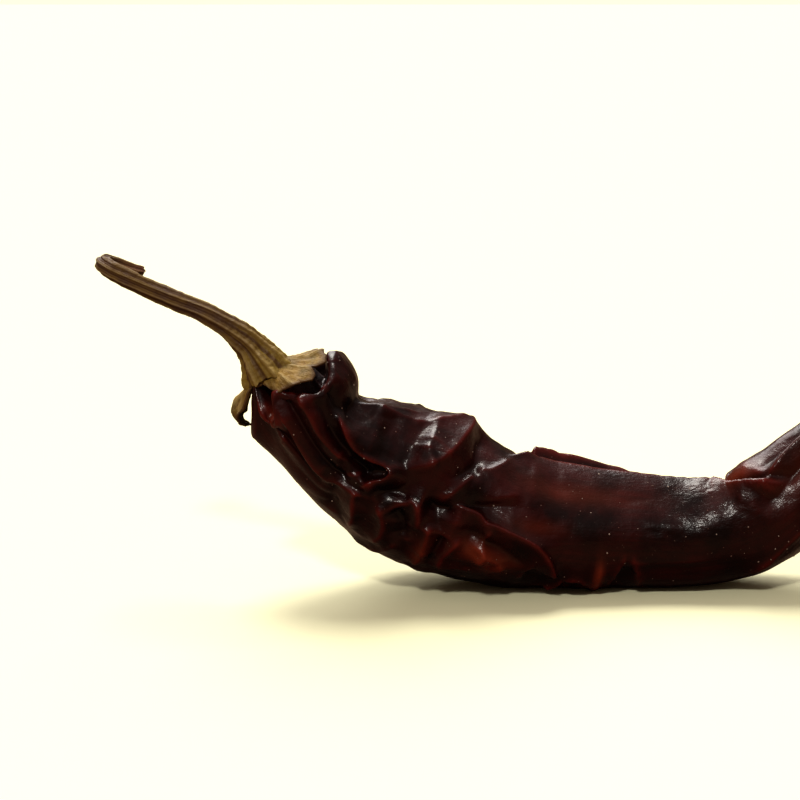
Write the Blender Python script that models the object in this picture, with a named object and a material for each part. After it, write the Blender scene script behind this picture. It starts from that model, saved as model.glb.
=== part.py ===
"""A dried chilli pepper lying on its belly: a collapsed, folded pod, its papery calyx and its curled stem.

Blender 4.5. Tables are in millimetres and degrees, and the objects are built in metres, with the origin
under the middle of the whole pepper, on the surface that it lies on.

The pod's skin is a grid. A ring's station is its distance from the shoulder's crest, measured along the skin:
below zero inside the crown, above zero down to the tip. An angle goes round the pod from its near side (0),
over its top (90) to its far side (180). A fold is a ridge or a groove drawn on that grid.
"""

from dataclasses import dataclass

import bmesh
import bpy
import numpy as np

MM = 0.001

# The line that the pod bends along, from the crown's middle to the tip: x, y, z.
POD_SPINE = (
    (-51.0, -5.0, 41.0),
    (-45.7, -4.0, 33.6),
    (-36.3, -2.5, 26.6),
    (-26.4, -1.0, 21.0),
    (-17.0, 0.0, 16.6),
    (-7.2, 0.3, 13.6),
    (3.9, 0.5, 12.4),
    (17.5, 0.5, 11.6),
    (31.6, 0.0, 11.2),
    (40.5, -0.5, 12.8),
    (47.6, -0.5, 17.2),
    (57.4, 0.5, 26.4),
    (67.1, 2.0, 35.6),
    (75.4, 3.0, 44.4),
    (82.2, 3.0, 52.6),
    (86.0, 2.0, 58.6),
)

# The skin's rings: station, distance along the spine, half width and half height.
POD_RINGS = (
    (-15.0, -7.0, 0.0, 0.0),
    (-10.5, -7.0, 4.4, 4.4),
    (-9.0, -5.4, 5.2, 5.2),
    (-5.0, -0.4, 6.4, 6.4),
    (-3.2, 1.2, 7.8, 7.8),
    (-1.6, 0.6, 9.8, 9.8),
    (0.0, -0.6, 11.2, 11.4),
    (1.6, -0.2, 12.4, 12.8),
    (4.0, 2.0, 12.8, 13.2),
    (10.0, 8.0, 12.4, 12.4),
    (22.0, 20.0, 13.6, 14.6),
    (33.0, 31.0, 15.0, 16.4),
    (44.0, 42.0, 15.8, 15.4),
    (55.0, 53.0, 15.6, 13.9),
    (66.0, 64.0, 14.8, 13.2),
    (80.0, 78.0, 13.6, 12.3),
    (94.0, 92.0, 12.6, 11.2),
    (103.0, 101.0, 11.8, 10.8),
    (112.0, 110.0, 11.0, 11.4),
    (124.0, 122.0, 9.4, 9.8),
    (138.0, 136.0, 7.4, 7.6),
    (150.0, 148.0, 5.4, 5.2),
    (160.0, 158.0, 3.4, 3.4),
    (167.0, 165.0, 1.6, 1.6),
    (170.0, 168.0, 0.0, 0.0),
)

# The shoulder's crest rises and sinks in lobes: angle, spread below and above it, reach outwards and lean
# towards the stem. They pull on the skin between the outer two stations, and wholly between the inner two.
SHOULDER_LOBES = (
    (80.0, 38.0, 38.0, 5.2, 1.4),
    (-20.0, 14.0, 34.0, 6.2, 2.4),
    (-56.0, 18.0, 16.0, 6.5, 3.2),
    (-88.0, 34.0, 18.0, 0.8, -0.2),
    (175.0, 35.0, 35.0, 2.5, 0.6),
)
LOBE_STATIONS = (-6.0, -1.8, 1.5, 12.0)

# Runs of rings: first station, last station and count.
RINGS = ((-14.0, 2.0, 13), (4.0, 60.0, 27), (63.0, 168.5, 30))
SIDES = 44
FOLD_SAMPLES = 60
FLOOR = 0.0

# How far apart the neighbours are that give a point's direction outwards: along the skin and round it.
STEP_ALONG = 0.2
STEP_ROUND = 1.0
# How fast a fold fades on skin that turns away from it.
TURNING_AWAY = 2.0
SHORTEST_FADE = 1e-6


@dataclass(frozen=True)
class Fold:
    """A ridge, or a groove where its height is below zero, along a line of (station, angle) points.

    Its slope dies away over `left` and `right` millimetres on the line's two sides, and its height fades
    in and out over the `fades`, which are shares of the line's length.
    """

    line: tuple
    height: float
    left: float
    right: float
    crest: float = 1.0
    fades: tuple = (0.2, 0.2)


FOLDS = {
    "trough behind the top edge": Fold(
        ((50, 112), (62, 112), (80, 108), (96, 104), (104, 100)), -5.2, 3.6, 4.2, 2.0
    ),
    "top edge": Fold(
        ((49, 76), (60, 88), (73, 86), (90, 80), (101, 72), (111, 48), (119, 14)), 1.3, 3.0, 5.0
    ),
    "waist behind the top lobe": Fold(((9, 20), (8.5, 50), (9, 80), (10, 110), (12, 140)), -2.6, 2.6, 3.4),
    "step above the belly": Fold(((36.8, 96), (36.5, 80), (35, 62), (33, 44), (29, 28)), 1.6, 5.0, 2.4),
    "step's foot": Fold(((39, 58), (42.6, 47), (46.4, 56), (50.2, 78)), -2.0, 2.6, 3.2),
    "first furrow": Fold(((-7.6, -31), (-3, -36), (1.3, -26), (7.6, -28), (15.6, -39)), -1.5, 1.6, 2.2, 0.7),
    "second furrow": Fold(((-6.8, -19), (2.9, -8), (9.2, -11), (17.8, -15)), -1.4, 1.6, 2.2, 0.7),
    "hooked fold": Fold(
        ((7.4, 27), (13, 17), (17.2, 15), (21.6, 16), (22.6, 8), (20.4, -6)), 1.6, 2.6, 1.8, 0.8
    ),
    "pocket in the hook": Fold(((15, 5), (18.4, 1), (19.6, -14)), -2.2, 2.0, 2.0),
    "valley": Fold(((30, 2), (36, 4), (42, 15), (50.2, 29), (58, 30)), -1.8, 2.4, 3.4),
    "crumpled fold": Fold(((39, 6), (46, 6), (54.8, 2), (60.8, -13), (63.4, -42)), 2.2, 2.0, 5.0, 0.8),
    "hollow on the belly's side": Fold(((75, -30), (81, -32)), -1.8, 3.0, 3.0, 2.0),
    "tail's ridge": Fold(((111, 38), (117, 50), (128, 62), (146, 70)), 1.4, 2.4, 2.4),
    "tail's crease": Fold(((100, -55), (106, -30), (114, -20), (130, -10), (148, 0)), 1.2, 2.2, 3.2),
    "far furrow": Fold(((14, 170), (34, 196), (58, 200), (84, 190)), -2.6, 4.0, 3.0),
    "far ridge": Fold(((20, 214), (44, 222), (70, 214), (100, 200)), 1.4, 3.4, 3.0),
    "far tail furrow": Fold(((92, 165), (112, 178), (134, 186), (152, 190)), -1.8, 2.6, 2.6),
}

# The calyx is a cap. Down its side from the middle: distance along the sheet, radius and drop.
CALYX_PROFILE = (
    (0.0, 0.0, 0.0),
    (3.0, 3.0, 0.2),
    (6.0, 5.7, 1.5),
    (9.0, 8.2, 3.1),
    (12.0, 10.7, 4.4),
    (15.0, 12.3, 6.6),
    (18.0, 12.4, 9.4),
    (20.5, 11.4, 11.6),
)
# Its torn edge: angle from the top lobe towards the near side, and distance along the sheet.
CALYX_EDGE = (
    (0.0, 12.6),
    (40.0, 13.6),
    (66.0, 11.2),
    (82.0, 9.8),
    (94.0, 7.4),
    (106.0, 5.4),
    (130.0, 4.8),
    (152.0, 5.6),
    (166.0, 12.0),
    (178.0, 18.4),
    (192.0, 19.0),
    (210.0, 15.6),
    (240.0, 13.6),
    (275.0, 14.6),
    (315.0, 12.8),
    (360.0, 12.6),
)
CALYX_CENTRE = (-59.4, -6.4, 48.1)
CALYX_AXIS = (-0.58, -0.11, 0.81)
# On the side away from the top lobe it stands off the crown by this much for each millimetre of radius past
# where the lift starts.
CALYX_LIFT = 0.5
LIFT_START = 4.4
CALYX_THICKNESS = 0.8
CALYX_SIDES = 48
CALYX_STEPS = 7

# The stem's middle line from its foot on the calyx to its cut end, with its radius: x, y, z, radius.
STEM_LINE = (
    (-59.3, -6.4, 48.9, 4.4),
    (-60.6, -6.3, 50.6, 3.8),
    (-62.3, -6.2, 52.9, 3.1),
    (-66.0, -6.0, 56.0, 2.5),
    (-71.5, -5.5, 59.4, 2.1),
    (-77.7, -4.5, 61.9, 1.9),
    (-82.9, -3.5, 64.1, 1.8),
    (-88.1, -2.8, 66.5, 1.7),
    (-91.2, -2.2, 68.0, 1.6),
    (-92.8, -0.4, 68.9, 1.5),
    (-92.5, 1.4, 68.9, 1.5),
    (-91.0, 2.6, 68.3, 1.5),
    (-88.2, 3.2, 67.2, 1.5),
    (-85.3, 3.4, 66.1, 1.5),
)
# The ribs' depth is a share of the radius.
STEM_RIBS = 7
STEM_RIB_DEPTH = 0.14
STEM_SIDES = 21
STEM_RINGS = 44

POD_SKIN = ("pod_skin", (0.028, 0.006, 0.005), 0.28)
CALYX_SKIN = ("dry_calyx", (0.17, 0.105, 0.032), 0.75)
STEM_BARK = ("dry_stem", (0.12, 0.07, 0.022), 0.7)


def smooth_through(knots, values, at):
    """Values on a smooth curve through the knots, which don't overshoot where the knots turn gently."""
    knots, at = np.asarray(knots, float), np.asarray(at, float)
    table = np.asarray(values, float).reshape(len(knots), -1)
    gaps = np.diff(knots)[:, None]
    slopes = np.diff(table, axis=0) / gaps
    tangents = np.empty_like(table)
    tangents[0], tangents[-1] = slopes[0], slopes[-1]
    tangents[1:-1] = (slopes[:-1] * gaps[1:] + slopes[1:] * gaps[:-1]) / (gaps[1:] + gaps[:-1])
    span = np.clip(np.searchsorted(knots, at, side="right") - 1, 0, len(knots) - 2)
    t = np.clip((at - knots[span]) / gaps[span, 0], 0, 1)[..., None]
    curve = table[span] * (1 + 2 * t) * (1 - t) ** 2 + gaps[span] * tangents[span] * t * (1 - t) ** 2
    curve += table[span + 1] * t * t * (3 - 2 * t) + gaps[span] * tangents[span + 1] * t * t * (t - 1)
    return curve.reshape(at.shape + np.shape(values)[1:])


def unit(vectors):
    """The vectors at length one."""
    return vectors / np.maximum(np.linalg.norm(vectors, axis=-1, keepdims=True), 1e-12)


def eased(share):
    """A share from 0 to 1 that starts and stops gently."""
    held = np.clip(share, 0, 1)
    return held * held * (3 - 2 * held)


class Spine:
    """A smooth line through points, read by the distance along it. It runs on straight past both ends."""

    SAMPLES = 600

    def __init__(self, points):
        points = np.array(points, float)
        knots = np.concatenate([[0.0], np.cumsum(np.linalg.norm(np.diff(points, axis=0), axis=1))])
        self.points = smooth_through(knots, points, np.linspace(0, knots[-1], self.SAMPLES))
        steps = np.linalg.norm(np.diff(self.points, axis=0), axis=1)
        self.distance = np.concatenate([[0.0], np.cumsum(steps)])
        self.length = self.distance[-1]
        self.tangents = unit(np.gradient(self.points, self.distance, axis=0))

    def frame(self, along):
        """The point at each distance, and the directions onwards, to the far side and to the top."""
        held = np.clip(along, 0, self.length)
        centre = np.stack([np.interp(held, self.distance, column) for column in self.points.T], -1)
        onward = unit(np.stack([np.interp(held, self.distance, column) for column in self.tangents.T], -1))
        centre = centre + onward * (along - held)[..., None]
        far = unit(np.array([0.0, 1.0, 0.0]) - onward * onward[..., 1:2])
        return centre, onward, far, np.cross(onward, far)


POD_LINE = Spine(POD_SPINE)


def bare_skin(stations, angles):
    """The pod's skin before its folds, at each station and angle."""
    stations, angles = np.broadcast_arrays(np.asarray(stations, float), np.asarray(angles, float))
    rings = np.array(POD_RINGS)
    ring = smooth_through(rings[:, 0], rings[:, 1:], stations)
    along, half_width, half_height = ring[..., 0], ring[..., 1], ring[..., 2]
    held = np.clip(stations, LOBE_STATIONS[0], LOBE_STATIONS[-1])
    share = smooth_through(LOBE_STATIONS, (0.0, 1.0, 1.0, 0.0), held)
    for middle, below, above, reach, lean in SHOULDER_LOBES:
        apart = (angles - middle + 180) % 360 - 180
        lobe = share * np.exp(-((apart / np.where(apart < 0, below, above)) ** 2))
        along = along - reach * lobe
        half_width = half_width - lean * lobe
        half_height = half_height - lean * lobe
    centre, _, far, top = POD_LINE.frame(along)
    turn = np.radians(angles)
    near = -np.cos(turn) * np.maximum(half_width, 0)
    up = np.sin(turn) * np.maximum(half_height, 0)
    return centre + near[..., None] * far + up[..., None] * top


def skin_normals(stations, angles):
    """The directions out of the bare skin at each station and angle."""
    onward = bare_skin(stations + STEP_ALONG, angles) - bare_skin(stations - STEP_ALONG, angles)
    round_it = bare_skin(stations, angles + STEP_ROUND) - bare_skin(stations, angles - STEP_ROUND)
    return unit(np.cross(onward, round_it))


def fold_displacement(fold, points, normals):
    """How far the fold lifts each point of the bare skin."""
    knots = np.linspace(0, 1, len(fold.line))
    line = smooth_through(knots, fold.line, np.linspace(0, 1, FOLD_SAMPLES))
    path, outwards = bare_skin(line[:, 0], line[:, 1]), skin_normals(line[:, 0], line[:, 1])
    away = np.linalg.norm(points[:, None] - path[None], axis=-1)
    nearest = away.argmin(axis=1)
    away = away[np.arange(len(points)), nearest]
    rightwards = np.cross(unit(np.gradient(path, axis=0)), outwards)[nearest]
    is_right = ((points - path[nearest]) * rightwards).sum(-1) > 0
    slope = np.where(is_right, fold.right, fold.left)
    profile = np.exp(-(np.sqrt(away**2 + fold.crest**2) - fold.crest) / slope)
    share = nearest / (FOLD_SAMPLES - 1)
    rise = eased(share / max(fold.fades[0], SHORTEST_FADE))
    fall = eased((1 - share) / max(fold.fades[1], SHORTEST_FADE))
    same_side = np.clip((normals * outwards[nearest]).sum(-1) * TURNING_AWAY, 0, 1)
    return fold.height * profile * rise * fall * same_side


def folded_skin(stations, angles):
    """The pod's skin with its folds, flattened where it lies on its belly."""
    points = bare_skin(stations, angles)
    normals = skin_normals(stations, angles)
    flat_points, flat_normals = points.reshape(-1, 3), normals.reshape(-1, 3)
    lift = sum(fold_displacement(fold, flat_points, flat_normals) for fold in FOLDS.values())
    points = points + normals * lift.reshape(points.shape[:2])[..., None]
    points[..., 2] = np.maximum(points[..., 2], FLOOR)
    return points


def tube_faces(rings, sides):
    """The quads of a tube of rings, and the fans that close its two ends on the last two points."""
    faces = []
    for ring in range(rings - 1):
        for side in range(sides):
            after = (side + 1) % sides
            a, b = ring * sides, (ring + 1) * sides
            faces.append((a + side, a + after, b + after, b + side))
    first, last = rings * sides, rings * sides + 1
    for side in range(sides):
        after = (side + 1) % sides
        faces.append((first, after, side))
        faces.append((last, (rings - 1) * sides + side, (rings - 1) * sides + after))
    return faces


def pod_mesh():
    """The pod's points and faces: rings of skin from the crown's middle to the tip."""
    stations = np.concatenate([np.linspace(first, last, count) for first, last, count in RINGS])
    angles = np.arange(SIDES) * 360.0 / SIDES
    skin = folded_skin(stations[:, None], angles[None, :])
    ends = bare_skin(np.array([POD_RINGS[0][0], POD_RINGS[-1][0]]), np.zeros(2))
    return np.concatenate([skin.reshape(-1, 3), ends]), tube_faces(len(stations), SIDES)


def calyx_mesh():
    """The calyx's points and faces: the sheet's outside from its middle to its edge, then back inside."""
    axis = unit(np.array(CALYX_AXIS))
    near = unit(np.array([0.0, -1.0, 0.0]) + axis * axis[1])
    lobe = np.cross(axis, near)
    turn = np.radians(np.arange(CALYX_SIDES) * 360.0 / CALYX_SIDES)
    edge = smooth_through(*zip(*CALYX_EDGE), np.degrees(turn))
    profile = np.array(CALYX_PROFILE)
    shares = np.linspace(1 / CALYX_STEPS, 1, CALYX_STEPS)

    def sheet(share, depth):
        """A ring of the sheet at this share of the way to the edge, `depth` below its outside."""
        radius, drop = smooth_through(profile[:, 0], profile[:, 1:], edge * share).T
        onward = edge * share + STEP_ALONG
        next_radius, next_drop = smooth_through(profile[:, 0], profile[:, 1:], onward).T
        outward, down = next_radius - radius, next_drop - drop
        radius = radius - depth * down / np.hypot(outward, down)
        lift = CALYX_LIFT * np.maximum(radius - LIFT_START, 0) * np.maximum(-np.cos(turn), 0)
        drop = drop + depth * outward / np.hypot(outward, down) - lift
        out = np.cos(turn)[:, None] * lobe + np.sin(turn)[:, None] * near
        return np.array(CALYX_CENTRE) + radius[:, None] * out - drop[:, None] * axis

    outside = [sheet(share, 0.0) for share in shares]
    inside = [sheet(share, CALYX_THICKNESS) for share in shares[::-1]]
    top = np.array(CALYX_CENTRE)
    middle = np.stack([top, top - CALYX_THICKNESS * axis])
    return np.concatenate(outside + inside + [middle]), tube_faces(2 * CALYX_STEPS, CALYX_SIDES)


def stem_mesh():
    """The stem's points and faces: a ribbed rod from its flared foot round its hook to the cut end."""
    table = np.array(STEM_LINE)
    line = Spine(table[:, :3])
    gone = np.concatenate([[0.0], np.cumsum(np.linalg.norm(np.diff(table[:, :3], axis=0), axis=1))])
    knots = gone * line.length / gone[-1]
    along = np.linspace(0, line.length, STEM_RINGS)
    radius = smooth_through(knots, table[:, 3], along)
    centre, onward, _, _ = line.frame(along)
    turn = np.arange(STEM_SIDES) * 2 * np.pi / STEM_SIDES
    ribs = 1 + STEM_RIB_DEPTH * np.cos(STEM_RIBS * turn)
    side = unit(np.cross(onward[0], np.array([0.0, 1.0, 0.0])))
    rings = []
    for middle, forward, size in zip(centre, onward, radius):
        side = unit(side - forward * side.dot(forward))
        other = np.cross(forward, side)
        spokes = np.cos(turn)[:, None] * side + np.sin(turn)[:, None] * other
        rings.append(middle + size * ribs[:, None] * spokes)
    return np.concatenate(rings + [centre[:1], centre[-1:]]), tube_faces(STEM_RINGS, STEM_SIDES)


def material(name, colour, roughness):
    """A plain skin of one colour."""
    made = bpy.data.materials.new(name)
    made.use_nodes = True
    shader = made.node_tree.nodes["Principled BSDF"]
    shader.inputs["Base Color"].default_value = (*colour, 1.0)
    shader.inputs["Roughness"].default_value = roughness
    return made


def add_object(name, points, faces, skin):
    """One closed object, its points given in millimetres, with its faces pointing out."""
    mesh = bpy.data.meshes.new(name)
    mesh.from_pydata([tuple(point) for point in points * MM], [], faces)
    mesh.validate()
    shell = bmesh.new()
    shell.from_mesh(mesh)
    bmesh.ops.recalc_face_normals(shell, faces=shell.faces)
    shell.to_mesh(mesh)
    shell.free()
    mesh.shade_smooth()
    mesh.materials.append(material(*skin))
    made = bpy.data.objects.new(name, mesh)
    bpy.context.collection.objects.link(made)
    return made


def main():
    for old in list(bpy.data.objects):
        bpy.data.objects.remove(old)
    pieces = {
        "pod": (*pod_mesh(), POD_SKIN),
        "calyx": (*calyx_mesh(), CALYX_SKIN),
        "stem": (*stem_mesh(), STEM_BARK),
    }
    everything = np.concatenate([points for points, _, _ in pieces.values()])
    low, high = everything.min(axis=0), everything.max(axis=0)
    origin = np.array([(low[0] + high[0]) / 2, (low[1] + high[1]) / 2, low[2]])
    for name, (points, faces, skin) in pieces.items():
        add_object(name, points - origin, faces, skin)


main()
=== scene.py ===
"""The looks of a dried chilli pepper: its folded glossy skin, its papery calyx and its ribbed, hooked stem.

The pepper's own tables are in millimetres and degrees: X runs from its stem to its tip, Y away from its near
side and Z up from the surface that it lies on. `Bench` turns them into the frame's metres.

The pod's skin is a grid. A station is the distance along the skin from the shoulder's crest, below zero
inside the crown and above zero down to the tip. An angle goes round the pod from its near side (0), over its
top (90) to its far side (180). Every fold is a line drawn on that grid.
"""

from __future__ import annotations

import logging
import math
from collections.abc import Iterable, Sequence
from dataclasses import dataclass, field
from enum import Enum

import bpy
import numpy as np
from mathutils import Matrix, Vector


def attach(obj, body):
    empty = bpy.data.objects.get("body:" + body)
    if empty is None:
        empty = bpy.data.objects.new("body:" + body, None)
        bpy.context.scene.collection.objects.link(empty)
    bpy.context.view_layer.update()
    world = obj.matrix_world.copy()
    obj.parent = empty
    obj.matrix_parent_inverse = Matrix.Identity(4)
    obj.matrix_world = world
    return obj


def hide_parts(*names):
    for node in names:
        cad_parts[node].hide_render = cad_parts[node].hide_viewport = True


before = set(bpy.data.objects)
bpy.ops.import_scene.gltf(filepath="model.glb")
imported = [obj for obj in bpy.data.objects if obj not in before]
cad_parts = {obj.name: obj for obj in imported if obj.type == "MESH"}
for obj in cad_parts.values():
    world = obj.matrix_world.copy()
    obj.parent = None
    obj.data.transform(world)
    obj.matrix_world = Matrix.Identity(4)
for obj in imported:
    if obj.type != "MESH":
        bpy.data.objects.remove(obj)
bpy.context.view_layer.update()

log = logging.getLogger("chilli_pepper")

MM = 0.001
BODY = "root"
# The frame's origin, under the middle of the pepper's box, in the pepper's own millimetres.
ORIGIN = (-3.85883, -0.90459, 0.0)


# ---------------------------------------------------------------------------------------------------------
# Curves, directions and noise
# ---------------------------------------------------------------------------------------------------------


def smooth_through(knots: Sequence[float], values: Sequence, at: np.ndarray) -> np.ndarray:
    """Read a smooth curve through the knots, which doesn't overshoot where the knots turn gently.

    Args:
        knots: The rising positions that the curve goes through.
        values: The value, or the row of values, at each knot.
        at: The positions to read.

    Returns:
        The values there, shaped as `at` and then as one row of `values`.
    """
    knots, at = np.asarray(knots, float), np.asarray(at, float)
    table = np.asarray(values, float).reshape(len(knots), -1)
    gaps = np.diff(knots)[:, None]
    slopes = np.diff(table, axis=0) / gaps
    tangents = np.empty_like(table)
    tangents[0], tangents[-1] = slopes[0], slopes[-1]
    tangents[1:-1] = (slopes[:-1] * gaps[1:] + slopes[1:] * gaps[:-1]) / (gaps[1:] + gaps[:-1])
    span = np.clip(np.searchsorted(knots, at, side="right") - 1, 0, len(knots) - 2)
    t = np.clip((at - knots[span]) / gaps[span, 0], 0, 1)[..., None]
    curve = table[span] * (1 + 2 * t) * (1 - t) ** 2 + gaps[span] * tangents[span] * t * (1 - t) ** 2
    curve += table[span + 1] * t * t * (3 - 2 * t) + gaps[span] * tangents[span + 1] * t * t * (t - 1)
    return curve.reshape(at.shape + np.shape(values)[1:])


def unit(vectors: np.ndarray) -> np.ndarray:
    """The vectors at length one."""
    return vectors / np.maximum(np.linalg.norm(vectors, axis=-1, keepdims=True), 1e-12)


def eased(share: np.ndarray) -> np.ndarray:
    """A share from 0 to 1 that starts and stops gently."""
    held = np.clip(share, 0, 1)
    return held * held * (3 - 2 * held)


def patchy(along: np.ndarray, turns: np.ndarray, cells: tuple[float, int], seed: int) -> np.ndarray:
    """Soft random patches on a surface that closes on itself.

    Args:
        along: The position along the surface, in any unit.
        turns: The position round it, in whole turns.
        cells: The patches' length along the surface, and how many go round it.
        seed: What fixes the pattern.

    Returns:
        Values from -1 to 1.
    """
    length, count = cells
    rng = np.random.default_rng(seed)
    u = along / length
    v = (turns % 1.0) * count
    low_u, low_v = np.floor(u).astype(int), np.floor(v).astype(int)
    lattice = rng.uniform(-1, 1, (low_u.max() - low_u.min() + 2, count))
    share_u, share_v = eased(u - low_u), eased(v - low_v)
    row, column, after = low_u - low_u.min(), low_v % count, (low_v + 1) % count
    near = lattice[row, column] * (1 - share_v) + lattice[row, after] * share_v
    far = lattice[row + 1, column] * (1 - share_v) + lattice[row + 1, after] * share_v
    return near * (1 - share_u) + far * share_u


class Spine:
    """A smooth line through points, read by the distance along it. It runs on straight past both ends."""

    SAMPLES = 600

    def __init__(self, points: Sequence[Sequence[float]]) -> None:
        """Lay the line.

        Args:
            points: The points that the line goes through, in millimetres.
        """
        table = np.array(points, float)
        knots = np.concatenate([[0.0], np.cumsum(np.linalg.norm(np.diff(table, axis=0), axis=1))])
        self.points = smooth_through(knots, table, np.linspace(0, knots[-1], self.SAMPLES))
        steps = np.linalg.norm(np.diff(self.points, axis=0), axis=1)
        self.distance = np.concatenate([[0.0], np.cumsum(steps)])
        self.length = float(self.distance[-1])
        self.tangents = unit(np.gradient(self.points, self.distance, axis=0))

    def frame(self, along: np.ndarray) -> tuple[np.ndarray, np.ndarray, np.ndarray, np.ndarray]:
        """Read the line.

        Args:
            along: Distances along it.

        Returns:
            The point at each distance, and the directions onwards, to the far side and to the top.
        """
        held = np.clip(along, 0, self.length)
        centre = np.stack([np.interp(held, self.distance, column) for column in self.points.T], -1)
        onward = unit(np.stack([np.interp(held, self.distance, column) for column in self.tangents.T], -1))
        centre = centre + onward * (along - held)[..., None]
        far = unit(np.array([0.0, 1.0, 0.0]) - onward * onward[..., 1:2])
        return centre, onward, far, np.cross(onward, far)


# ---------------------------------------------------------------------------------------------------------
# The bench: where things stand, and how a mesh is made
# ---------------------------------------------------------------------------------------------------------


@dataclass(frozen=True)
class Bench:
    """The pepper's place in the frame.

    Attributes:
        origin: The frame's origin in the pepper's own millimetres.
    """

    origin: tuple[float, float, float]

    def metres(self, points: np.ndarray) -> np.ndarray:
        """The points in the frame's metres."""
        return (np.asarray(points, float) - np.array(self.origin)) * MM


@dataclass
class SkinGrid:
    """A sheet of points in rings that close on themselves, with a fan over each end.

    Attributes:
        points: Rings by sides by XYZ, in millimetres.
        ends: The two points under the fans.
        along: Each ring's place along the sheet, for the UV map.
        masks: Values from 0 to 1 for the material, one for each point, by name.
    """

    points: np.ndarray
    ends: np.ndarray
    along: np.ndarray
    masks: dict[str, np.ndarray] = field(default_factory=dict)

    def to_object(self, name: str, bench: Bench) -> bpy.types.Object:
        """Make the mesh and its object, with its UV map and masks.

        Args:
            name: The object's name.
            bench: The pepper's place.

        Returns:
            The new object, at the origin.
        """
        rings, sides, _ = self.points.shape
        ring, side = np.meshgrid(np.arange(rings - 1), np.arange(sides), indexing="ij")
        after = (side + 1) % sides
        here, next_ring = ring * sides, (ring + 1) * sides
        quads = np.stack([here + side, here + after, next_ring + after, next_ring + side], -1).reshape(-1, 4)
        around = np.arange(sides)
        first, last = rings * sides, rings * sides + 1
        head = np.stack([np.full(sides, first), (around + 1) % sides, around], -1)
        base = (rings - 1) * sides
        tail = np.stack([np.full(sides, last), base + around, base + (around + 1) % sides], -1)
        mesh = bpy.data.meshes.new(name)
        vertices = bench.metres(np.concatenate([self.points.reshape(-1, 3), self.ends]))
        loops = np.concatenate([quads.reshape(-1), head.reshape(-1), tail.reshape(-1)])
        sizes = np.concatenate([np.full(len(quads), 4), np.full(2 * sides, 3)])
        mesh.vertices.add(len(vertices))
        mesh.vertices.foreach_set("co", vertices.astype(np.float32).reshape(-1))
        mesh.loops.add(len(loops))
        mesh.loops.foreach_set("vertex_index", loops.astype(np.int32))
        mesh.polygons.add(len(sizes))
        mesh.polygons.foreach_set("loop_start", np.concatenate([[0], np.cumsum(sizes)[:-1]]).astype(np.int32))
        mesh.update(calc_edges=True)
        self._add_uv(mesh, ring, side)
        for mask, values in self.masks.items():
            layer = mesh.attributes.new(mask, "FLOAT", "POINT")
            full = np.concatenate([values.reshape(-1), [values[0].mean(), values[-1].mean()]])
            layer.data.foreach_set("value", full.astype(np.float32))
        mesh.shade_smooth()
        made = bpy.data.objects.new(name, mesh)
        bpy.context.collection.objects.link(made)
        return made

    def _add_uv(self, mesh: bpy.types.Mesh, ring: np.ndarray, side: np.ndarray) -> None:
        """Lay the UV map: U along the sheet and V round it, with no face turned back at the seam.

        Args:
            mesh: The mesh that gets the map.
            ring: Each quad's first ring.
            side: Each quad's first side.
        """
        sides = self.points.shape[1]
        u0, u1 = self.along[ring], self.along[ring + 1]
        v0, v1 = side / sides, (side + 1) / sides
        quads = np.stack([u0, v0, u0, v1, u1, v1, u1, v0], -1).reshape(-1)
        around = np.arange(sides) / sides
        onward = around + 1 / sides
        half = around + 0.5 / sides
        head_u, tail_u = np.full(sides, self.along[0]), np.full(sides, self.along[-1])
        head = np.stack([head_u, half, head_u, onward, head_u, around], -1).reshape(-1)
        tail = np.stack([tail_u, half, tail_u, around, tail_u, onward], -1).reshape(-1)
        layer = mesh.uv_layers.new(name="UVMap")
        layer.data.foreach_set("uv", np.concatenate([quads, head, tail]).astype(np.float32))


def curl_of(points: np.ndarray, reach: int) -> np.ndarray:
    """How far each point of a ring grid stands out of its neighbours' middle.

    Args:
        points: Rings by sides by XYZ.
        reach: How many steps away the neighbours are.

    Returns:
        The distance out of the surface, below zero in a hollow, in the points' own unit.
    """
    rings = np.arange(len(points))
    before, after = np.clip(rings - reach, 0, None), np.clip(rings + reach, None, len(points) - 1)
    across = (np.roll(points, reach, axis=1) + np.roll(points, -reach, axis=1)) / 2
    down = (points[before] + points[after]) / 2
    onward = points[after] - points[before]
    round_it = np.roll(points, -reach, axis=1) - np.roll(points, reach, axis=1)
    outward = unit(np.cross(onward, round_it))
    return ((points - (across + down) / 2) * outward).sum(-1)


def softened(values: np.ndarray, passes: int) -> np.ndarray:
    """Values on a ring grid, spread to their neighbours this many times."""
    for _ in range(passes):
        wide = np.concatenate([values[:1], values, values[-1:]])
        values = (2 * values + wide[:-2] + wide[2:] + np.roll(values, 1, 1) + np.roll(values, -1, 1)) / 6
    return values


def dress(piece: bpy.types.Object, material: bpy.types.Material) -> None:
    """Give the piece this one material.

    Args:
        piece: The object to dress.
        material: Its finish.
    """
    piece.data.materials.clear()
    piece.data.materials.append(material)


def hand_over(piece: bpy.types.Object, node: str) -> None:
    """Tie a finished piece to the CAD and log it.

    Args:
        piece: The finished piece.
        node: The CAD node that it stands for.
    """
    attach(piece, BODY)
    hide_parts(node)
    log.info("%s: %d faces for %s", piece.name, len(piece.data.polygons), node)


# ---------------------------------------------------------------------------------------------------------
# Shader groups and finishes
# ---------------------------------------------------------------------------------------------------------


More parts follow.
